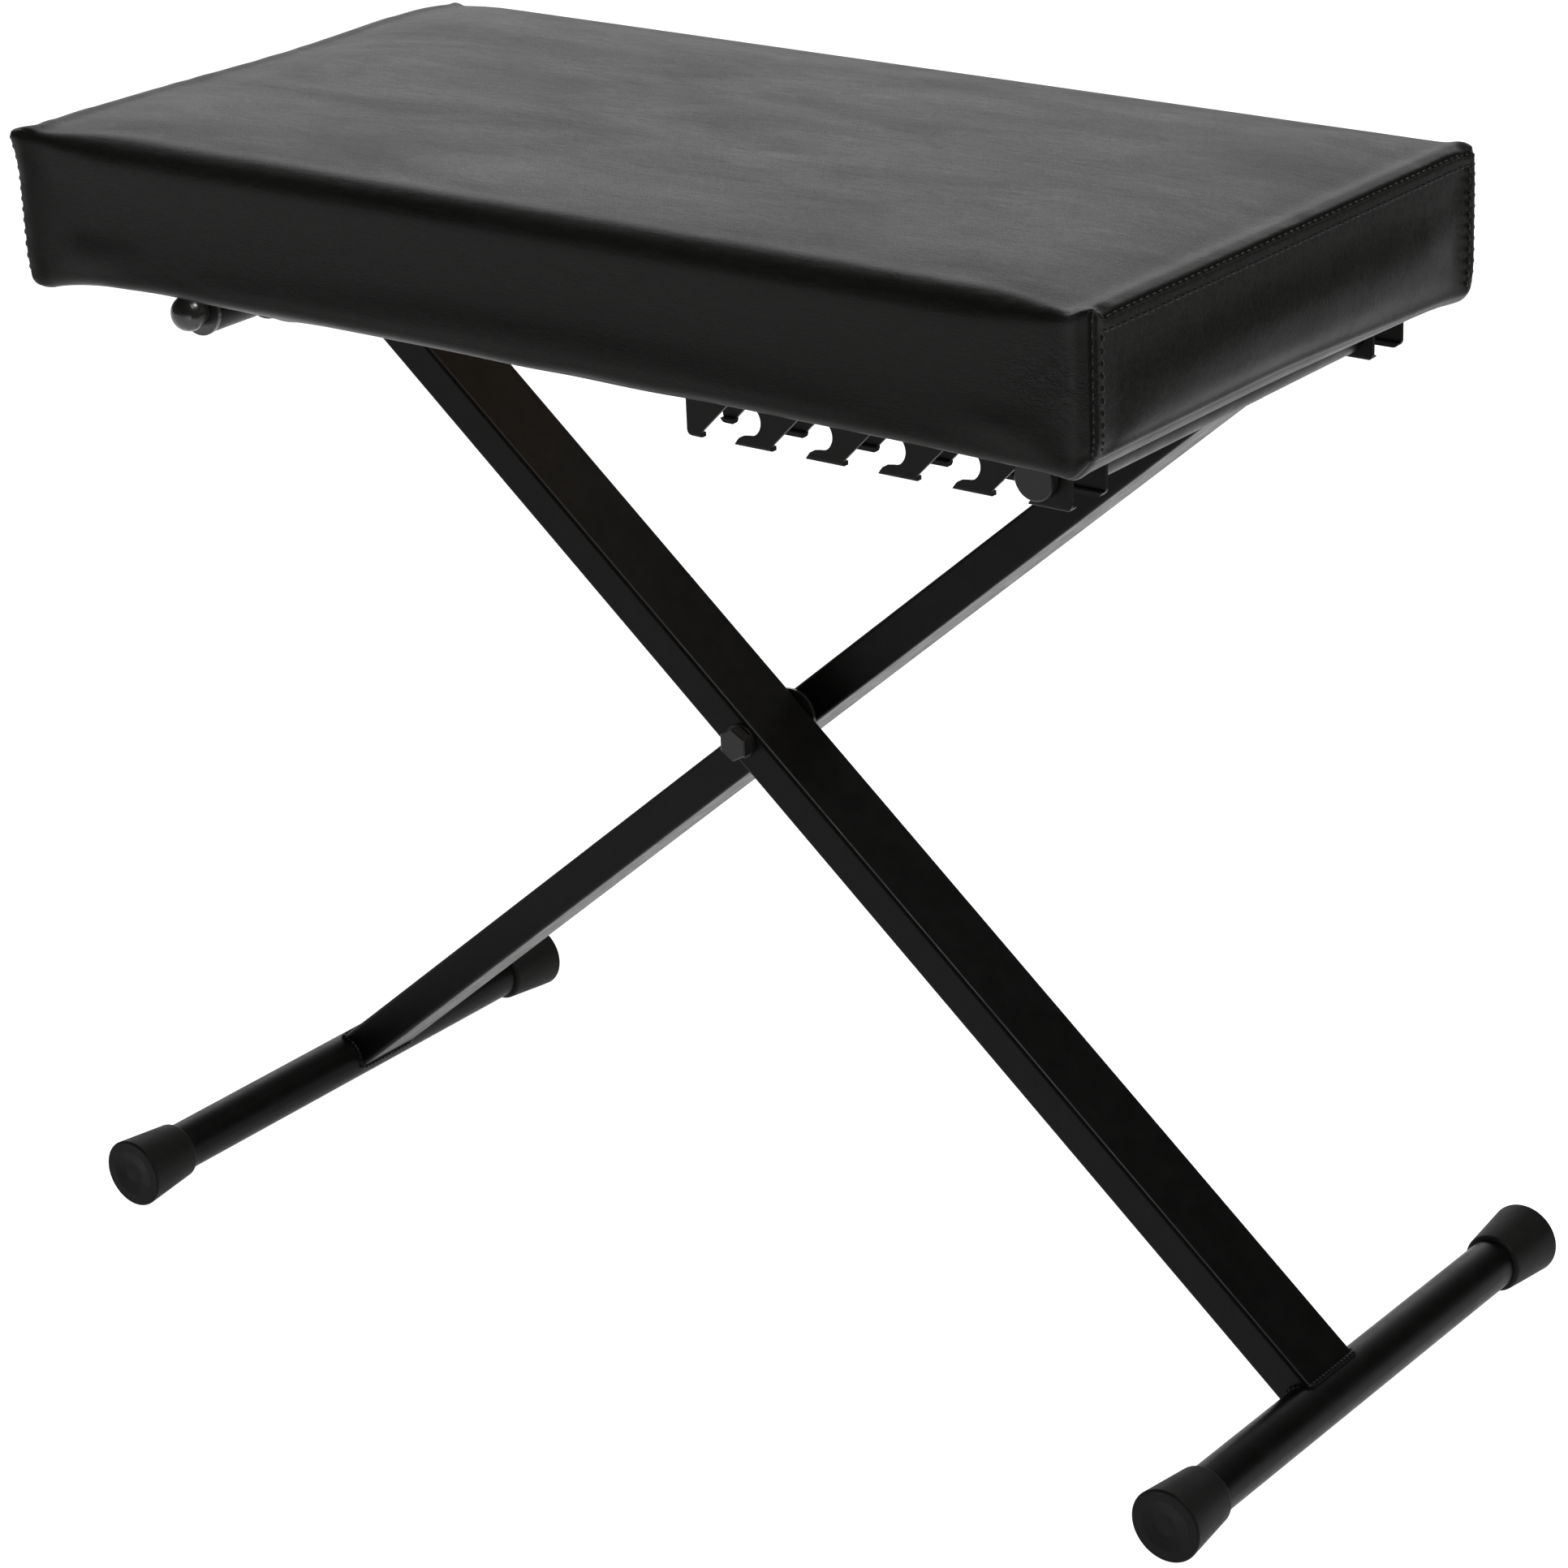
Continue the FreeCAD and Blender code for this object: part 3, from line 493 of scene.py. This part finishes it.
def box_surface(grid):
    """Points and quads of a box's surface, with the grid's lines along each axis."""
    index = {}
    points = []
    quads = []

    def point(cell):
        if cell not in index:
            index[cell] = len(points)
            points.append([grid[axis][cell[axis]] for axis in range(3)])
        return index[cell]

    for axis in range(3):
        first, second = [other for other in range(3) if other != axis]
        for side in (0, len(grid[axis]) - 1):
            outward = (axis != 1) == (side > 0)
            for i in range(len(grid[first]) - 1):
                for j in range(len(grid[second]) - 1):
                    ring = []
                    for di, dj in ((0, 0), (1, 0), (1, 1), (0, 1)):
                        cell = [side, side, side]
                        cell[first] = i + di
                        cell[second] = j + dj
                        ring.append(point(tuple(cell)))
                    quads.append(ring if outward else ring[::-1])
    return np.array(points), quads


def rounded(sharp):
    """Move points of the sharp box onto the rounded block with its recessed underside."""
    x, y, z = (sharp[:, axis].copy() for axis in range(3))
    side = np.sign(y)
    from_end = HALF_X - np.abs(x)
    depth = np.minimum(HALF_Y - np.abs(y), np.minimum(TALL - z, z))
    normal = np.zeros((len(x), 2))
    flat_side = (HALF_Y - np.abs(y)) <= np.minimum(TALL - z, z)
    normal[flat_side, 0] = side[flat_side]
    normal[~flat_side, 1] = np.where(TALL - z < z, 1, -1)[~flat_side]

    top = ROLL_AT_SEAM + (ROLL - ROLL_AT_SEAM) * smooth(from_end / ROLL_RUN)
    for upward, radius in ((1, top), (-1, np.full(len(x), ROLL_LOW))):
        level = (z - (TALL - radius)) if upward > 0 else (radius - z)
        over = np.abs(y) - (HALF_Y - radius)
        corner = (over > 0) & (level > 0)
        reach = np.hypot(over, level) + 1e-12
        scale = np.where(corner, np.maximum(over, level) / reach, 1)
        y = np.where(corner, side * (HALF_Y - radius + over * scale), y)
        new_level = level * scale
        bent = (TALL - radius + new_level) if upward > 0 else (radius - new_level)
        z = np.where(corner, bent, z)
        normal[:, 0] = np.where(corner, side * over / reach, normal[:, 0])
        normal[:, 1] = np.where(corner, upward * level / reach, normal[:, 1])

    edge = SEAM_ROUND + (END_LOW - SEAM_ROUND) * smooth(1 - sharp[:, 2] / (14 * MM))
    along = np.clip(edge - from_end, 0, None)
    inward = np.clip(edge - depth, 0, None)
    corner = (along > 0) & (inward > 0)
    reach = np.hypot(along, inward) + 1e-12
    scale = np.where(corner, np.maximum(along, inward) / reach, 1)
    x = np.where(corner, np.sign(x) * (HALF_X - edge + along * scale), x)
    shift = inward * scale - inward
    y = y + np.where(corner, shift * normal[:, 0], 0)
    z = z + np.where(corner, shift * normal[:, 1], 0)

    inset = np.minimum(HALF_X - np.abs(sharp[:, 0]), HALF_Y - np.abs(sharp[:, 1]))
    lift = HEM_RISE * smooth((inset - HEM_START + 2.2 * MM) / (3 * MM))
    lift += (BOARD_RISE - HEM_RISE) * smooth((inset - HEM_END + 0.4 * MM) / (0.8 * MM))
    lift += (HIDDEN_RISE - BOARD_RISE) * smooth((inset - HEM_END - 1.5 * MM) / (3 * MM))
    z = z + np.where(sharp[:, 2] <= 0, lift, 0)
    return np.column_stack((x, y, z))


def mesh_piece(name, points, faces):
    mesh = bpy.data.meshes.new(name)
    mesh.from_pydata([tuple(point) for point in points], [], faces)
    mesh.update()
    piece = bpy.data.objects.new(name, mesh)
    bpy.context.scene.collection.objects.link(piece)
    return piece


def apply_modifiers(piece):
    graph = bpy.context.evaluated_depsgraph_get()
    mesh = bpy.data.meshes.new_from_object(piece.evaluated_get(graph))
    old = piece.data
    piece.modifiers.clear()
    piece.data = mesh
    bpy.data.meshes.remove(old)


def inflate(grid):
    """Swell the block as a tight cover under pressure, and return how far each point moves."""
    sharp, quads = box_surface(grid)
    start = rounded(sharp)
    pad = mesh_piece("inflating", start, quads)
    held = pad.vertex_groups.new(name="held")
    inset = np.minimum(HALF_X - np.abs(sharp[:, 0]), HALF_Y - np.abs(sharp[:, 1]))
    under = (sharp[:, 2] <= 0) & (inset > HEM_START - 3 * MM)
    held.add([int(number) for number in np.nonzero(under)[0]], 1.0, "REPLACE")
    cloth = pad.modifiers.new("cover", "CLOTH")
    settings = cloth.settings
    settings.quality = 6
    settings.mass = 0.4
    settings.tension_stiffness = 60
    settings.compression_stiffness = 30
    settings.shear_stiffness = 20
    settings.bending_stiffness = 6
    settings.tension_damping = 20
    settings.use_pressure = True
    settings.uniform_pressure_force = 4
    settings.vertex_group_mass = "held"
    settings.effector_weights.gravity = 0
    cloth.collision_settings.use_collision = False
    cloth.point_cache.frame_start = 1
    cloth.point_cache.frame_end = SIM_FRAMES
    for number in range(1, SIM_FRAMES + 1):
        bpy.context.scene.frame_set(number)
    graph = bpy.context.evaluated_depsgraph_get()
    swollen = pad.evaluated_get(graph).to_mesh()
    after = np.zeros(len(start) * 3)
    swollen.vertices.foreach_get("co", after)
    move = after.reshape(-1, 3) - start
    bpy.context.scene.frame_set(1)
    bpy.data.objects.remove(pad)
    print("swelling mm", np.abs(move).max(0) / MM)
    return sharp, move


def carry(grid, sharp, move, points):
    """Moves at new points of the same box surface, by cubic interpolation on each face."""
    shape = [len(line) for line in grid]
    cube = {}
    cells_of = [np.searchsorted(line, sharp[:, axis] - HAIR) for axis, line in enumerate(grid)]
    result = np.zeros_like(points)
    done = np.zeros(len(points), bool)
    for axis in range(3):
        first, second = [other for other in range(3) if other != axis]
        for side in (0, shape[axis] - 1):
            on_side = cells_of[axis] == side
            table = np.zeros((shape[first], shape[second], 3))
            table[cells_of[first][on_side], cells_of[second][on_side]] = move[on_side]
            cube[axis, side] = table
            mine = (np.abs(points[:, axis] - grid[axis][side]) < HAIR) & ~done
            result[mine] = cubic(table, grid[first], grid[second], points[mine, first],
                                 points[mine, second])
            done |= mine
    return result


def weights(line, place):
    """Four neighbours on an even grid line and their Catmull-Rom weights."""
    cell = np.clip(np.searchsorted(line, place, side="right") - 1, 0, len(line) - 2)
    t = (place - line[cell]) / (line[cell + 1] - line[cell])
    share = np.stack((-t + 2 * t**2 - t**3, 2 - 5 * t**2 + 3 * t**3, t + 4 * t**2 - 3 * t**3,
                      t**3 - t**2)) / 2
    spots = np.clip(cell + np.arange(-1, 3)[:, None], 0, len(line) - 1)
    return spots, share


def cubic(table, first_line, second_line, first, second):
    rows, row_share = weights(first_line, first)
    columns, column_share = weights(second_line, second)
    total = 0
    for row, row_part in zip(rows, row_share):
        for column, column_part in zip(columns, column_share):
            total = total + table[row, column] * (row_part * column_part)[:, None]
    return total


def bell(distance, width):
    return np.exp(-(distance / width) ** 2)


def upholstery(sharp, points):
    """Seam grooves, welts, puckers, corner ears, tucks and the pulled lower edge."""
    x, y, z = sharp.T
    from_end = HALF_X - np.abs(x)
    on_end = from_end < HAIR
    from_side = HALF_Y - np.abs(y)
    from_top = TALL - z
    to_seam = np.minimum(from_side, from_top)
    end_way = np.sign(x)
    side_way = np.sign(y)
    moved = points.copy()

    # Each end panel: groove at its edge, seam allowance behind it, second row of stitches.
    welt = smooth((to_seam - 0.6 * MM) / (1.6 * MM)) * smooth((7.6 * MM - to_seam) / (1.8 * MM))
    rise = WELT_RISE * welt - ROW_DEPTH * bell(to_seam - ROW_TWO, 0.8 * MM)
    rise *= smooth(z / (6 * MM))
    moved[:, 0] += np.where(on_end, end_way * rise, 0)

    # End panels bow outwards, and their foot turns in under the board.
    bow = END_BOW * smooth(from_top / (TALL / 2)) * smooth(z / (TALL / 2))
    bow *= smooth(from_side / (40 * MM))
    tuck_in = TUCK_IN * smooth(1 - z / (17 * MM))
    moved[:, 0] += np.where(on_end, end_way * bow, 0)
    moved[:, 0] -= np.where(from_end < 12 * MM, end_way * tuck_in, 0)

    # Main panel: the edge dips into the seam and puckers between stitches.
    main = ~on_end & (z > HAIR)
    lengthways = np.where(from_top < HAIR, y, z)
    wave = np.sin(lengthways * 2 * math.pi / (2.9 * PITCH) + 1.7 * np.sin(lengthways / (23 * MM)))
    wave *= 0.6 + 0.4 * np.sin(lengthways / (11 * MM) + x * 3)
    pucker = PUCKER * wave * bell(from_end - 3.5 * MM, 4 * MM)
    swell = SWELL * bell(from_end - 6.5 * MM, 4.5 * MM) * (0.5 + 0.5 * smooth(z / TALL))
    swell += pucker
    moved[:, 2] += np.where(main & (from_top < HAIR), swell, 0)
    moved[:, 1] += np.where(main & (from_side < HAIR), side_way * swell, 0)
    groove = SEAM_DEPTH * bell(np.where(on_end, to_seam, from_end), 1.2 * MM)
    groove *= smooth(z / (5 * MM))
    moved[:, 0] -= end_way * groove
    moved[:, 2] -= np.where(from_top < 6 * MM, groove * 0.7, 0)
    moved[:, 1] -= np.where(from_side < 6 * MM, side_way * groove * 0.7, 0)

    # Corners stand out as ears; beside each ear the fold of the main panel is pinched in.
    # Below, each corner hangs in a tip beside the end of its seam.
    corner = np.sqrt(from_end**2 + from_side**2 + from_top**2)
    for (end, side), (reach, outward, sideward, upward) in EARS.items():
        ear = np.where((end_way == end) & (side_way == side), bell(corner, reach * MM), 0)
        moved[:, 0] += end * outward * MM * ear
        moved[:, 1] += side * sideward * MM * ear
        moved[:, 2] += upward * MM * ear
    pinch = bell(from_end - 1.5 * MM, 4 * MM) * bell(from_side - 8 * MM, 4.5 * MM)
    moved[:, 2] -= EAR_PINCH * pinch * bell(from_top, 5 * MM)
    for (end, side), (inboard, reach, drop) in FEET.items():
        away = np.sqrt((from_end - inboard * MM)**2 + from_side**2 + z**2)
        foot = np.where((end_way == end) & (side_way == side), bell(away, reach * MM), 0)
        moved[:, 2] -= drop * MM * foot
    moved[:, 2] += SEAM_LIFT * bell(from_end, 4 * MM) * bell(z, 9 * MM)
    low_end = smooth(1 - from_end / (30 * MM)) * smooth(1 - z / LOW_REACH)
    moved[:, 2] -= END_DROP * low_end

    # The left end's top edge sags towards its rear corner.
    sag = bell(from_end, 24 * MM) * bell(y - 30 * MM, 70 * MM) * np.where(x < 0, 1, 0)
    moved[:, 2] -= LEFT_SAG * sag * smooth(z / TALL)

    # Between its corners the lower edge is pulled up, and the hem is tucked unevenly.
    run = smooth(from_end / (95 * MM))
    across = smooth(from_side / (80 * MM))
    low = smooth(1 - z / LOW_REACH)
    rim = smooth(1 - (np.minimum(from_end, from_side) - HEM_START) / (6 * MM))
    long_side = smooth(1 - from_side / (12 * MM))
    short_side = smooth(1 - from_end / (12 * MM))
    pull = LONG_PULL * run * long_side
    right_end = END_DROP + RIGHT_PULL * smooth((HALF_Y - y) / (170 * MM))
    left_end = (LEFT_PULL - LEFT_TILT * y / HALF_Y) * across
    pull += np.where(x > 0, right_end, left_end) * short_side
    ripple = RIPPLE * np.sin(x / (17 * MM) + 2 * np.sin(x / (41 * MM) + side_way))
    moved[:, 2] += (pull + ripple * run * long_side) * low * rim
    under = z <= HAIR
    for place, way, width, depth in TUCKS:
        fold = bell(x + MIDDLE - place, width * MM) * bell(from_side - 12 * MM, 4 * MM)
        moved[:, 2] -= np.where(under & (side_way == way), depth * MM * fold, 0)
    diagonal = bell(from_end - from_side, 2.2 * MM) * smooth((from_side - HEM_START) / (4 * MM))
    diagonal *= smooth((HEM_END - from_side) / (3 * MM))
    moved[:, 2] -= np.where(under, MITRE * diagonal, 0)

    # The top is fuller where its rolls are wider.
    crown = CROWN * (ROLL - ROLL_AT_SEAM) * smooth(from_end / ROLL_RUN)
    moved[:, 2] += crown * smooth((z - TALL / 2) / (TALL / 3))

    # Faint creases that run down from the right front corner's ear.
    fan = np.sin((x + 0.55 * z) / (4.2 * MM)) * bell(from_end - 20 * MM, 11 * MM)
    fan *= bell(z - 44 * MM, 12 * MM) * np.where((x > 0) & (y < 0), 1, 0)
    moved[:, 1] += np.where(from_side < HAIR, CREASE_FAN * fan, 0)
    return moved


def cushion_block():
    """Cushion's final points and faces."""
    sim_z = np.linspace(0, TALL, round(TALL / SIM_STEP) + 1)
    sim_grid = [lines(HALF_X, (0.0,), SIM_STEP), lines(HALF_Y, (0.0,), SIM_STEP), sim_z]
    sim_points, move = inflate(sim_grid)
    length = np.linalg.norm(move, axis=1, keepdims=True)
    move = move / np.maximum(length / MOVE_CAP, 1)
    inside = np.sort(np.abs(np.column_stack((HALF_X - np.abs(sim_points[:, 0]),
                                             HALF_Y - np.abs(sim_points[:, 1]),
                                             TALL / 2 - np.abs(sim_points[:, 2] - TALL / 2)))))
    move *= (EDGE_SHARE + (1 - EDGE_SHARE) * smooth(inside[:, 1:2] / (30 * MM)))
    fine_z = lines(TALL / 2, NEAR_SEAM[:12], 4.5 * MM) + TALL / 2
    grid = [lines(HALF_X, NEAR_SEAM + (30.0,) + AT_HEM, STEP),
            lines(HALF_Y, NEAR_SEAM + (30.0,) + AT_HEM, STEP), fine_z]
    sharp, quads = box_surface(grid)
    points = rounded(sharp) + carry(sim_grid, sim_points, move, sharp)
    points = upholstery(sharp, points)
    points += np.array((MIDDLE, 0, LOW.z))
    return points, quads, sharp, grid


def make_cushion(paint):
    points, quads, sharp, grid = cushion_block()
    cushion = mesh_piece("cushion", points, quads)
    finer = cushion.modifiers.new("finer", "SUBSURF")
    finer.levels = 1
    finer.render_levels = 1
    apply_modifiers(cushion)
    cushion.data.shade_smooth()
    cushion.data.materials.append(paint)
    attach(cushion, "seat")
    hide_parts("vinyl_cover", "foam_pad")
    return grid, sharp, points


# Along a stitch: share of its length, height in thread radii / 1.6, and relative thickness.
STITCH_RINGS = ((0.0, -0.55, 0.5), (0.14, 0.05, 0.9), (0.35, 0.35, 1.0), (0.65, 0.35, 1.0),
                (0.86, 0.05, 0.9), (1.0, -0.55, 0.5))
STITCH_SIDES = 6
STITCH_ARCH = 1.6
THREAD_RADIUS = 0.38 * MM
STITCH_SHARE = 0.31
ROWS_START = 5 * MM
# The rows of stitches: distance from the seam, lift in mm, and lean towards the main panel.
ROWS = ((0.4 * MM, 0.55, 0.9), (ROW_TWO, 0.2, 0.0))


def stitch(points, faces, start, finish, out):
    """One bar of thread from start to finish, sunk at both ends."""
    along = finish - start
    run = np.linalg.norm(along)
    along = along / run
    across = np.cross(out, along)
    base = len(points)
    sides = STITCH_SIDES
    for part, lift, size in STITCH_RINGS:
        centre = start + along * run * part + out * THREAD_RADIUS * lift * STITCH_ARCH
        for number in range(sides):
            angle = 2 * math.pi * number / sides
            spoke = across * math.cos(angle) + out * math.sin(angle)
            points.append(centre + spoke * THREAD_RADIUS * size)
    last = len(STITCH_RINGS) - 1
    for ring in range(last):
        for number in range(sides):
            after = (number + 1) % sides
            faces.append((base + ring * sides + number, base + ring * sides + after,
                          base + (ring + 1) * sides + after, base + (ring + 1) * sides + number))
    faces.append(tuple(base + number for number in reversed(range(sides))))
    faces.append(tuple(base + last * sides + number for number in range(sides)))


def end_table(grid, sharp, points, end):
    """Finished places of one end panel's points, by grid line along Y and along Z."""
    mine = np.abs(sharp[:, 0] - end * HALF_X) < HAIR
    table = np.zeros((len(grid[1]), len(grid[2]), 3))
    rows = np.searchsorted(grid[1], sharp[mine, 1] - HAIR)
    columns = np.searchsorted(grid[2], sharp[mine, 2] - HAIR)
    table[rows, columns] = points[mine]
    return table


def on_panel(grid, table, spots):
    """Places on the finished end panel of spots given as Y and Z on the sharp box."""
    cells_of = []
    shares = []
    for line, place in zip(grid[1:], spots.T):
        cell = np.clip(np.searchsorted(line, place) - 1, 0, len(line) - 2)
        cells_of.append(cell)
        shares.append(((place - line[cell]) / (line[cell + 1] - line[cell]))[:, None])
    (i, j), (s, t) = cells_of, shares
    low = table[i, j] * (1 - s) + table[i + 1, j] * s
    high = table[i, j + 1] * (1 - s) + table[i + 1, j + 1] * s
    return low * (1 - t) + high * t


def make_stitches(grid, sharp, cushion_points, paint):
    """Two rows of stitches around each end panel: in the seam and beside it."""
    points = []
    faces = []
    for end in (-1, 1):
        table = end_table(grid, sharp, cushion_points, end)
        for inset, lift, lean in ROWS:
            lows = ROWS_START
            up = TALL - inset
            side = HALF_Y - inset
            path = ((-side, lows), (-side, up), (side, up), (side, lows))
            for (y0, z0), (y1, z1) in zip(path, path[1:]):
                run = math.hypot(y1 - y0, z1 - z0)
                count = max(1, int((run - 2 * MM) / PITCH))
                part = (np.arange(count) + 0.5) / count
                middles = np.column_stack((y0 + (y1 - y0) * part, z0 + (z1 - z0) * part))
                reach = np.array((y1 - y0, z1 - z0)) / run * STITCH_SHARE * PITCH
                starts = on_panel(grid, table, middles - reach)
                ends = on_panel(grid, table, middles + reach)
                sideways = lean * abs(z1 - z0) / run * np.sign(y0)
                out = np.array((end, sideways, lean * (y1 - y0) / run))
                out /= np.linalg.norm(out)
                for first, second in zip(starts, ends):
                    stitch(points, faces, first + out * lift * MM, second + out * lift * MM, out)
    seams = mesh_piece("seam_stitches", points, faces)
    seams.data.shade_smooth()
    seams.data.materials.append(paint)
    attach(seams, "seat")


# ---------------------------------------------------------------- welds
WELD_CORNER = 1.9 * MM
WELD_SINK = 0.2 * MM
WELD_SIDES = 10
CORNER_STEPS = 4
WELD_SPACING = 0.7 * MM
WELD_THICK = 1.45
WELD_WAVE = 0.22
WELD_PITCH = 2.4
LEG_HALF_DEEP = 8.75 * MM


def weld(name, body, tube, leg_axis, middle, half_wide, paint):
    """Bead of weld where a rectangular leg meets a round tube along Y."""
    radius = (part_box(tube)[1].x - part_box(tube)[0].x) / 2
    centre = (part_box(tube)[1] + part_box(tube)[0]) / 2
    across = Vector((-leg_axis.z, 0, leg_axis.x))
    outline = []
    corner = WELD_CORNER
    for sx, sy in ((1, 1), (-1, 1), (-1, -1), (1, -1)):
        base = math.atan2(sy, sx) - math.pi / 4
        for step in range(CORNER_STEPS + 1):
            angle = base + step * math.pi / 2 / CORNER_STEPS
            outline.append((sx * (LEG_HALF_DEEP - corner) + corner * math.cos(angle),
                            sy * (half_wide - corner) + corner * math.sin(angle)))
    path = []
    for (s0, y0), (s1, y1) in zip(outline, outline[1:] + outline[:1]):
        steps = max(1, round(math.hypot(s1 - s0, y1 - y0) / WELD_SPACING))
        for step in range(steps):
            s = s0 + (s1 - s0) * step / steps
            y = y0 + (y1 - y0) * step / steps
            reach = math.sqrt(max(radius**2 - s**2, 0)) - WELD_SINK
            path.append(Vector((centre.x, middle, centre.z)) + leg_axis * reach + across * s
                        + Vector((0, y, 0)))
    sides = WELD_SIDES
    points = []
    faces = []
    for number, spot in enumerate(path):
        ahead = (path[(number + 1) % len(path)] - path[number - 1]).normalized()
        out = (spot - Vector((centre.x, spot.y, centre.z))).normalized()
        out = (out - ahead * out.dot(ahead)).normalized()
        side = ahead.cross(out)
        turn = number * (WELD_SPACING / MM) * 2 * math.pi / WELD_PITCH
        thick = (WELD_THICK + WELD_WAVE * math.sin(turn)) * MM
        for side_number in range(sides):
            angle = 2 * math.pi * side_number / sides
            points.append(spot + (out * math.cos(angle) + side * math.sin(angle)) * thick)
    count = len(path)
    for number in range(count):
        after = (number + 1) % count
        for turn in range(sides):
            beside = (turn + 1) % sides
            faces.append((number * sides + turn, number * sides + beside, after * sides + beside,
                          after * sides + turn))
    bead = mesh_piece(name, points, faces)
    bead.data.shade_smooth()
    bead.data.materials.append(paint)
    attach(bead, body)


def make_welds(paint):
    """Welds at both ends of both legs."""
    legs = (("a", "leg_a_tube", "right_foot_tube", "pivot_tube"),
            ("b", "leg_b_tube", "left_foot_tube", "catch_tube"))
    for letter, leg, low_tube, high_tube in legs:
        leg_low, leg_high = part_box(leg)
        middle = (leg_low.y + leg_high.y) / 2
        half_wide = (leg_high.y - leg_low.y) / 2
        low_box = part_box(low_tube)
        high_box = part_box(high_tube)
        axis = ((high_box[0] + high_box[1]) - (low_box[0] + low_box[1])) / 2
        axis.y = 0
        axis.normalize()
        body = "leg_%s_frame" % letter
        weld("weld_%s_low" % letter, body, low_tube, axis, middle, half_wide, paint)
        weld("weld_%s_high" % letter, body, high_tube, -axis, middle, half_wide, paint)


# ---------------------------------------------------------------- build
bpy.context.scene.view_settings.view_transform = "Standard"
make_camera()
make_stage()
slot_paints = paint_frame()
panel_grid, sharp_points, final_points = make_cushion(vinyl("black_vinyl"))
make_stitches(panel_grid, sharp_points, final_points, thread("black_thread"))
make_welds(slot_paints["black_powder_coat"])
